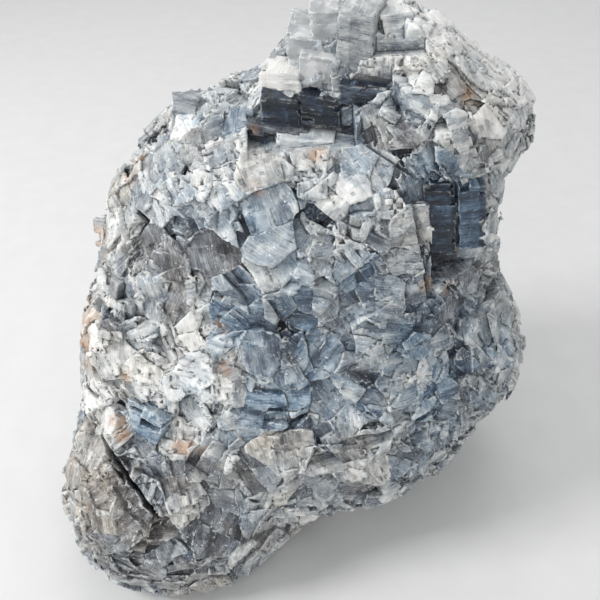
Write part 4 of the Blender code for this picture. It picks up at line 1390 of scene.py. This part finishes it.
def calcite_material():
    """Cleaved blue calcite: streaked facets, frost and painted highlight on edges, painted shade, beige haze,
    rust.
    """
    skin = Finish("blue_calcite_skin")
    facet, edges, look = (skin.numbers(name) for name in ("facet", "edges", "look"))
    tone, warmth, block = look
    lines = skin.vector("lines")
    stain = skin.add("ShaderNodeAttribute", attribute_name="stain").outputs["Fac"]
    noise = {name: skin.noise(skin.place, *values) for name, values in PATTERNS.items()}
    for name, (stretch, *values) in (("streaks", STREAKS), ("bands", BANDS)):
        noise[name] = skin.noise(skin.stretch(lines, stretch), *values)
    noise["crystal"], noise["cell"] = facet[1], facet[2]
    tone = skin.math("SUBTRACT", tone, 0.03)
    for name, share in TONE_SWINGS.items():
        tone = skin.swing(tone, noise[name], share)
    free = skin.math("SUBTRACT", 1.0, block)
    # Painted glints as well as white flecks: small pale spots in patches
    fleck_and_glint = skin.span(noise["patch"], 0.42, 0.62, 0.0, 0.4)
    fleck_and_glint = skin.math("MULTIPLY", skin.span(noise["flakes"], 0.60, 0.70), fleck_and_glint)
    # Painted shade: darker where the skin lies below its form, a little lighter where it stands proud
    hollow_shade = skin.span(edges[2], -3.5, 2.0, -0.20, 0.08)
    for change in (fleck_and_glint, hollow_shade):
        tone = skin.math("MULTIPLY_ADD", change, free, tone)
    tone = skin.math("MULTIPLY_ADD", tone, TONE_GAIN, TONE_LIFT, clamp=True)
    drift = skin.math("MULTIPLY_ADD", block, -0.8, 1.1)
    warmth = skin.math("MULTIPLY_ADD", skin.math("SUBTRACT", noise["hues"], 0.5), drift, warmth, clamp=True)
    colour = skin.mix(warmth, skin.ramp(tone, BLUE_STOPS), skin.ramp(tone, BEIGE_STOPS))
    rust = skin.span(noise["patch"], 0.32, 0.54, 0.25, 1.0)
    rust = skin.math("MULTIPLY", skin.span(stain, 0.05, 0.7), rust, clamp=True)
    # Frost and painted highlight on convex edges: the stone's bruised white edges, brightened to stand for
    # glints
    frost_and_highlight = skin.math("MULTIPLY", skin.span(edges[0], 0.32, 0.85), skin.span(noise["patch"], 0.40, 0.56))
    frost_and_highlight = skin.math("MULTIPLY", frost_and_highlight, skin.math("MULTIPLY_ADD", block, -0.6, 1.0))
    # Painted shade: dark in the concave folds between crystals
    cleft_shade = skin.span(noise["cloud"], 0.2, 0.6, 0.35, 1.0)
    cleft_shade = skin.math("MULTIPLY", skin.span(edges[1], 0.22, 0.75), cleft_shade)
    layers = ((rust, RUST_SHARE, RUST), (frost_and_highlight, FROST_AND_HIGHLIGHT_SHARE, FROST_AND_HIGHLIGHT), (cleft_shade, CLEFT_SHADE_SHARE, CLEFT_SHADE))
    for layer, share, paint in layers:
        colour = skin.mix(skin.math("MULTIPLY", layer, share), colour, paint)
    rough = skin.swing(skin.span(tone, 0.1, 0.9, 0.12, 0.5), noise["mottle"], 0.3)
    rough = skin.math("MULTIPLY_ADD", frost_and_highlight, 0.2, rough, clamp=True)
    skin.set(Base_Color=colour, Roughness=rough, IOR=CALCITE_IOR, Subsurface_Weight=0.2,
             Subsurface_Radius=(0.8, 0.9, 1.0), Subsurface_Scale=0.0015)
    relief = skin.math("MULTIPLY_ADD", noise["streaks"], 0.6, skin.math("MULTIPLY", noise["mottle"], 0.3))
    skin.bump(relief, 0.9, 0.0007)
    return skin.material


def clear_material():
    """Clear grey-blue calcite that light goes through."""
    clear = Finish("clear_calcite")
    facet, edges = (clear.numbers(name) for name in ("facet", "edges"))
    streaks = clear.noise(clear.stretch(clear.vector("lines"), (1.0, 0.06, 10.0)), 2.0, 3.0, 0.7)
    mottle = clear.noise(clear.place, 420.0, 4.0, 0.7, 0.6)
    cloud = clear.noise(clear.place, 150.0, 3.0, 0.6, 0.6)
    tint = clear.math("MULTIPLY_ADD", streaks, 0.5, clear.math("MULTIPLY", facet[1], 0.4))
    colour = clear.ramp(tint, ((0.15, (0.70, 0.74, 0.77)), (0.75, (0.95, 0.96, 0.96))))
    # Frost and painted highlight on convex edges
    frost_and_highlight = clear.math("MULTIPLY", clear.span(edges[0], 0.25, 0.8), clear.span(mottle, 0.3, 0.6, 0.2, 1.0))
    veil = clear.math("MAXIMUM", frost_and_highlight, clear.span(cloud, 0.38, 0.72, 0.0, 0.8))
    clear.set(
        Base_Color=clear.mix(veil, colour, (0.86, 0.87, 0.86, 1.0)),
        Roughness=clear.math("MULTIPLY_ADD", veil, 0.4, 0.06, clamp=True), IOR=CALCITE_IOR,
        Transmission_Weight=clear.math("SUBTRACT", 0.62, clear.math("MULTIPLY", veil, 0.5)))
    clear.bump(streaks, 0.3, 0.0003)
    depth = clear.add("ShaderNodeVolumeAbsorption", {"Color": (0.60, 0.68, 0.73, 1.0), "Density": 14.0})
    clear.links.new(depth.outputs[0], clear.output.inputs["Volume"])
    return clear.material


def floor_material():
    """Plain pale paper."""
    paper = Finish("pale_floor")
    grain = paper.noise(paper.place, 60.0, 4.0, 0.6)
    colour = paper.ramp(grain, ((0.3, (0.68, 0.68, 0.67)), (0.7, (0.71, 0.71, 0.70))))
    paper.set(Base_Color=colour, Roughness=0.7)
    return paper.material


# ------------------------------------------------------------------ chips


# The rhomb that a unit cube is leaned into: the share of each cube axis in X, Y and Z
CHIP_LEAN = {"X": (1.0, 0.21, 0.21), "Y": (0.0, 0.98, 0.17), "Z": (0.0, 0.0, 0.96)}
CHIP_STREAKS = (2.6, 2.2, 1.0)
CHIP_INPUTS = (
    ("Skin", "Geometry", None), ("Density", "Float", 1.0), ("Seed", "Int", 1),
    ("Least Size", "Vector", (0, 0, 0)), ("Most Size", "Vector", (0, 0, 0)), ("Sink", "Float", 0.0),
    ("Finish", "Material", None),
)


def chip_tree():
    """Geometry nodes that lay small cleavage rhombs on the skin, each turned as the crystal under it."""
    tree = bpy.data.node_groups.new("calcite_chips", "GeometryNodeTree")
    for name, kind, default in CHIP_INPUTS:
        socket = tree.interface.new_socket(name, in_out="INPUT", socket_type="NodeSocket" + kind)
        if default is not None:
            socket.default_value = default
    tree.interface.new_socket("Chips", in_out="OUTPUT", socket_type="NodeSocketGeometry")
    graph = Graph(tree)
    add = graph.add

    def store(shape, name, value, domain):
        return add("GeometryNodeStoreNamedAttribute", {"Geometry": shape, "Name": name, "Value": value},
                   data_type="FLOAT_VECTOR", domain=domain).outputs[0]

    def random_vector(low, high, salt):
        inputs = {0: low, 1: high, "Seed": salt}
        return add("FunctionNodeRandomValue", inputs, data_type="FLOAT_VECTOR").outputs[0]

    start = add("NodeGroupInput").outputs
    loose = add("GeometryNodeInputNamedAttribute", {"Name": "loose"}, data_type="FLOAT").outputs[0]
    density = graph.math("MULTIPLY", loose, start["Density"])
    points = add("GeometryNodeDistributePointsOnFaces", {
        "Mesh": start["Skin"], "Density": density, "Seed": start["Seed"]}, distribute_method="RANDOM").outputs
    side = add("GeometryNodeInputNamedAttribute", {"Name": "side"}, data_type="FLOAT_VECTOR").outputs[0]
    turn = add("FunctionNodeAxesToRotation", {"Primary Axis": points["Normal"], "Secondary Axis": side},
               primary_axis="Z", secondary_axis="X").outputs[0]
    cube = add("GeometryNodeMeshCube", {"Size": (1.0, 1.0, 1.0)}).outputs[0]
    spot = add("GeometryNodeInputPosition").outputs[0]
    axes = add("ShaderNodeSeparateXYZ", {0: spot}).outputs
    lean = add("ShaderNodeCombineXYZ")
    for name, shares in CHIP_LEAN.items():
        total = graph.math("MULTIPLY", axes[0], shares[0])
        for axis in (1, 2):
            total = graph.math("ADD", total, graph.math("MULTIPLY", axes[axis], shares[axis]))
        graph.feed(lean.inputs[name], total)
    rhomb = add("GeometryNodeSetPosition", {"Geometry": cube, "Position": lean.outputs[0]}).outputs[0]
    marked = store(rhomb, "lines", graph.stretch(spot, CHIP_STREAKS), "POINT")
    flat = add("GeometryNodeSetShadeSmooth", {"Geometry": marked, "Shade Smooth": False}).outputs[0]
    inputs = {0: points["Normal"], "Scale": start["Sink"]}
    sink = add("ShaderNodeVectorMath", inputs, operation="SCALE").outputs[0]
    lowered = add("GeometryNodeSetPosition", {"Geometry": points["Points"], "Offset": sink}).outputs[0]
    laid = add("GeometryNodeInstanceOnPoints", {
        "Points": lowered, "Instance": flat, "Rotation": turn,
        "Scale": random_vector(start["Least Size"], start["Most Size"], 11)}).outputs[0]
    toned = store(laid, "facet", random_vector((0, 0, 0), (1, 1, 1), 12), "INSTANCE")
    real = add("GeometryNodeRealizeInstances", {0: toned}).outputs[0]
    finish = add("GeometryNodeSetMaterial", {"Geometry": real, "Material": start["Finish"]}).outputs[0]
    add("NodeGroupOutput", {0: finish})
    return tree


# ------------------------------------------------------------------ settings and operators


def put(mesh, material):
    """Place a finished mesh in the scene as a piece that stands for the part's solid."""
    piece = bpy.data.objects.new(mesh.name, mesh)
    bpy.context.scene.collection.objects.link(piece)
    if material is not None:
        mesh.materials.clear()
        mesh.materials.append(material)
    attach(piece, "root")
    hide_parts(NODE_NAME)
    return piece


def stone_of(settings):
    """The stone as the skin's settings cut it."""
    return Stone(settings.coarse_share)


class SkinSettings(bpy.types.PropertyGroup):
    """How finely the skin is made."""

    grid: FloatProperty(name="Grid", description="Spacing of the points that the skin is made from",
                        default=0.00074, min=0.0004, subtype="DISTANCE", unit="LENGTH")
    coarse_share: FloatProperty(name="Coarse share", min=0.0, max=1.0, subtype="FACTOR", default=COARSE_SHARE,
                                description="Weight of large cleavage blocks over thin plates")


class ClearSettings(bpy.types.PropertyGroup):
    """The clear crystals of the crown."""

    grid: FloatProperty(name="Grid", default=0.0005, min=0.0003, subtype="DISTANCE", unit="LENGTH",
                        description="Spacing of the points that the clear crystals are made from")


class ChipSettings(bpy.types.PropertyGroup):
    """Small loose plates and rhombs that lie on the skin."""

    density: FloatProperty(name="Density", description="Chips on each square metre of skin",
                           default=28000.0, min=0.0)
    seed: IntProperty(name="Seed", description="Changes where the chips lie", default=5)
    least: FloatVectorProperty(name="Least size", description="Smallest chip", size=3, subtype="TRANSLATION",
                               default=(0.0006, 0.0005, 0.0003), unit="LENGTH")
    most: FloatVectorProperty(name="Most size", description="Largest chip", size=3, subtype="TRANSLATION",
                              default=(0.0021, 0.0015, 0.0007), unit="LENGTH")
    sink: FloatProperty(name="Sink", description="How far each chip's middle lies from the skin, outwards",
                        default=-0.0001, subtype="DISTANCE", unit="LENGTH")


class StageSettings(bpy.types.PropertyGroup):
    """Floor, light and camera."""

    floor: FloatProperty(name="Floor", description="Edge of the pale floor", default=6.0,
                         subtype="DISTANCE", unit="LENGTH")
    key: FloatProperty(name="Key light", description="Power of the main light", default=7.5, unit="POWER")
    fill: FloatProperty(name="Fill light", description="Power of the fill light", default=3.4, unit="POWER")
    sky: FloatProperty(name="Surroundings", description="Brightness of the pale surroundings", default=0.55)


class CALCITE_OT_skin(bpy.types.Operator):
    """Build the cleaved skin of the chunk"""

    bl_idname = "calcite.skin"
    bl_label = "Build skin"

    def execute(self, context):
        settings = context.scene.calcite_skin
        grid = settings.grid / MM * 1.0
        names = [name for name in BLOCKS if name not in CLEAR_BLOCKS]
        material = calcite_material()
        for mesh in stone_pieces(stone_of(settings), grid, names, True, SLABS):
            put(mesh, material)
        return {"FINISHED"}


class CALCITE_OT_clear(bpy.types.Operator):
    """Build the clear crystals of the crown"""

    bl_idname = "calcite.clear"
    bl_label = "Build clear crystals"

    def execute(self, context):
        stone = stone_of(context.scene.calcite_skin)
        material = clear_material()
        for name in CLEAR_BLOCKS:
            grid = context.scene.calcite_clear.grid / MM
            put(stone_pieces(stone, grid, [name], False, [name])[0], material)
        return {"FINISHED"}


class CALCITE_OT_chips(bpy.types.Operator):
    """Lay small cleavage chips on the skin"""

    bl_idname = "calcite.chips"
    bl_label = "Lay chips"

    def execute(self, context):
        settings = context.scene.calcite_chips
        skins = [bpy.data.objects.get(name) for name in SLABS]
        if None in skins:
            raise RuntimeError("Build the skin first")
        tree = chip_tree()
        material = bpy.data.materials["blue_calcite_skin"]
        values = {"Density": settings.density, "Least Size": settings.least, "Most Size": settings.most,
                  "Sink": settings.sink, "Finish": material}
        for index, skin in enumerate(skins):
            name = skin.name.replace("calcite", "chips")
            maker = bpy.data.objects.new(name, skin.data)
            context.scene.collection.objects.link(maker)
            modifier = maker.modifiers.new("chips", "NODES")
            modifier.node_group = tree
            for socket in tree.interface.items_tree:
                if socket.in_out == "INPUT" and socket.name in values:
                    modifier[socket.identifier] = values[socket.name]
                elif socket.name == "Seed":
                    modifier[socket.identifier] = settings.seed + index
            graph = context.evaluated_depsgraph_get()
            mesh = bpy.data.meshes.new_from_object(maker.evaluated_get(graph))
            bpy.data.objects.remove(maker)
            mesh.name = name
            put(mesh, None)
        return {"FINISHED"}


class CALCITE_OT_stage(bpy.types.Operator):
    """Set the pale floor, the soft light and the camera"""

    bl_idname = "calcite.stage"
    bl_label = "Set stage"

    def execute(self, context):
        settings = context.scene.calcite_stage
        grid = bmesh.new()
        bmesh.ops.create_grid(grid, x_segments=1, y_segments=1, size=settings.floor / 2)
        mesh = bpy.data.meshes.new("floor")
        grid.to_mesh(mesh)
        grid.free()
        mesh.materials.append(floor_material())
        floor = bpy.data.objects.new("floor", mesh)
        context.scene.collection.objects.link(floor)
        world = bpy.data.worlds.new("pale_room")
        world.use_nodes = True
        sky = world.node_tree.nodes["Background"]
        sky.inputs["Color"].default_value = SKY_COLOUR
        sky.inputs["Strength"].default_value = settings.sky
        context.scene.world = world
        for name, (spot, size, power) in LAMPS.items():
            light = bpy.data.lights.new(name, "AREA")
            light.size = size
            light.energy = getattr(settings, power)
            lamp = bpy.data.objects.new(name, light)
            lamp.location = spot
            lamp.rotation_euler = (Vector(spot) - Vector(LAMP_TARGET)).to_track_quat("Z", "Y").to_euler()
            context.scene.collection.objects.link(lamp)
        set_camera(context.scene)
        context.scene.view_settings.view_transform = "Standard"
        return {"FINISHED"}


def set_camera(scene):
    """Place the camera where the photograph was taken from."""
    lens = bpy.data.cameras.new("camera")
    lens.lens = CAMERA_LENS
    lens.sensor_width = SENSOR
    lens.clip_start = NEAREST_SIGHT
    camera = bpy.data.objects.new("camera", lens)
    right, up, ahead = camera_axes()
    place = Matrix((right, up, -ahead)).transposed().to_4x4()
    place.translation = Vector((CAMERA_SPOT + FORM_SHIFT) * MM)
    camera.matrix_world = place
    scene.collection.objects.link(camera)
    scene.camera = camera


class CALCITE_PT_panel(bpy.types.Panel):
    """The chunk's settings and steps"""

    bl_idname = "CALCITE_PT_panel"
    bl_label = "Blue calcite chunk"
    bl_space_type = "VIEW_3D"
    bl_region_type = "UI"
    bl_category = "Calcite"

    def draw(self, context):
        for owner, operator in STEPS:
            box = self.layout.box()
            settings = getattr(context.scene, owner)
            for name in settings.__annotations__:
                box.prop(settings, name)
            box.operator(operator)


STEPS = (
    ("calcite_skin", "calcite.skin"),
    ("calcite_clear", "calcite.clear"),
    ("calcite_chips", "calcite.chips"),
    ("calcite_stage", "calcite.stage"),
)
GROUPS = (SkinSettings, ClearSettings, ChipSettings, StageSettings)
CLASSES = GROUPS + (CALCITE_OT_skin, CALCITE_OT_clear, CALCITE_OT_chips, CALCITE_OT_stage, CALCITE_PT_panel)


def register():
    """Add the add-on's classes and settings."""
    for item in CLASSES:
        bpy.utils.register_class(item)
    for (owner, _), group in zip(STEPS, GROUPS):
        setattr(bpy.types.Scene, owner, PointerProperty(type=group))


def unregister():
    """Remove the add-on's classes and settings."""
    for owner, _ in STEPS:
        delattr(bpy.types.Scene, owner)
    for item in reversed(CLASSES):
        bpy.utils.unregister_class(item)


def main():
    """Build the whole chunk and its stage."""
    register()
    for step in (bpy.ops.calcite.skin, bpy.ops.calcite.clear, bpy.ops.calcite.chips, bpy.ops.calcite.stage):
        if step() != {"FINISHED"}:
            raise RuntimeError("a step did not finish")
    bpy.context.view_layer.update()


if __name__ == "__main__":
    main()
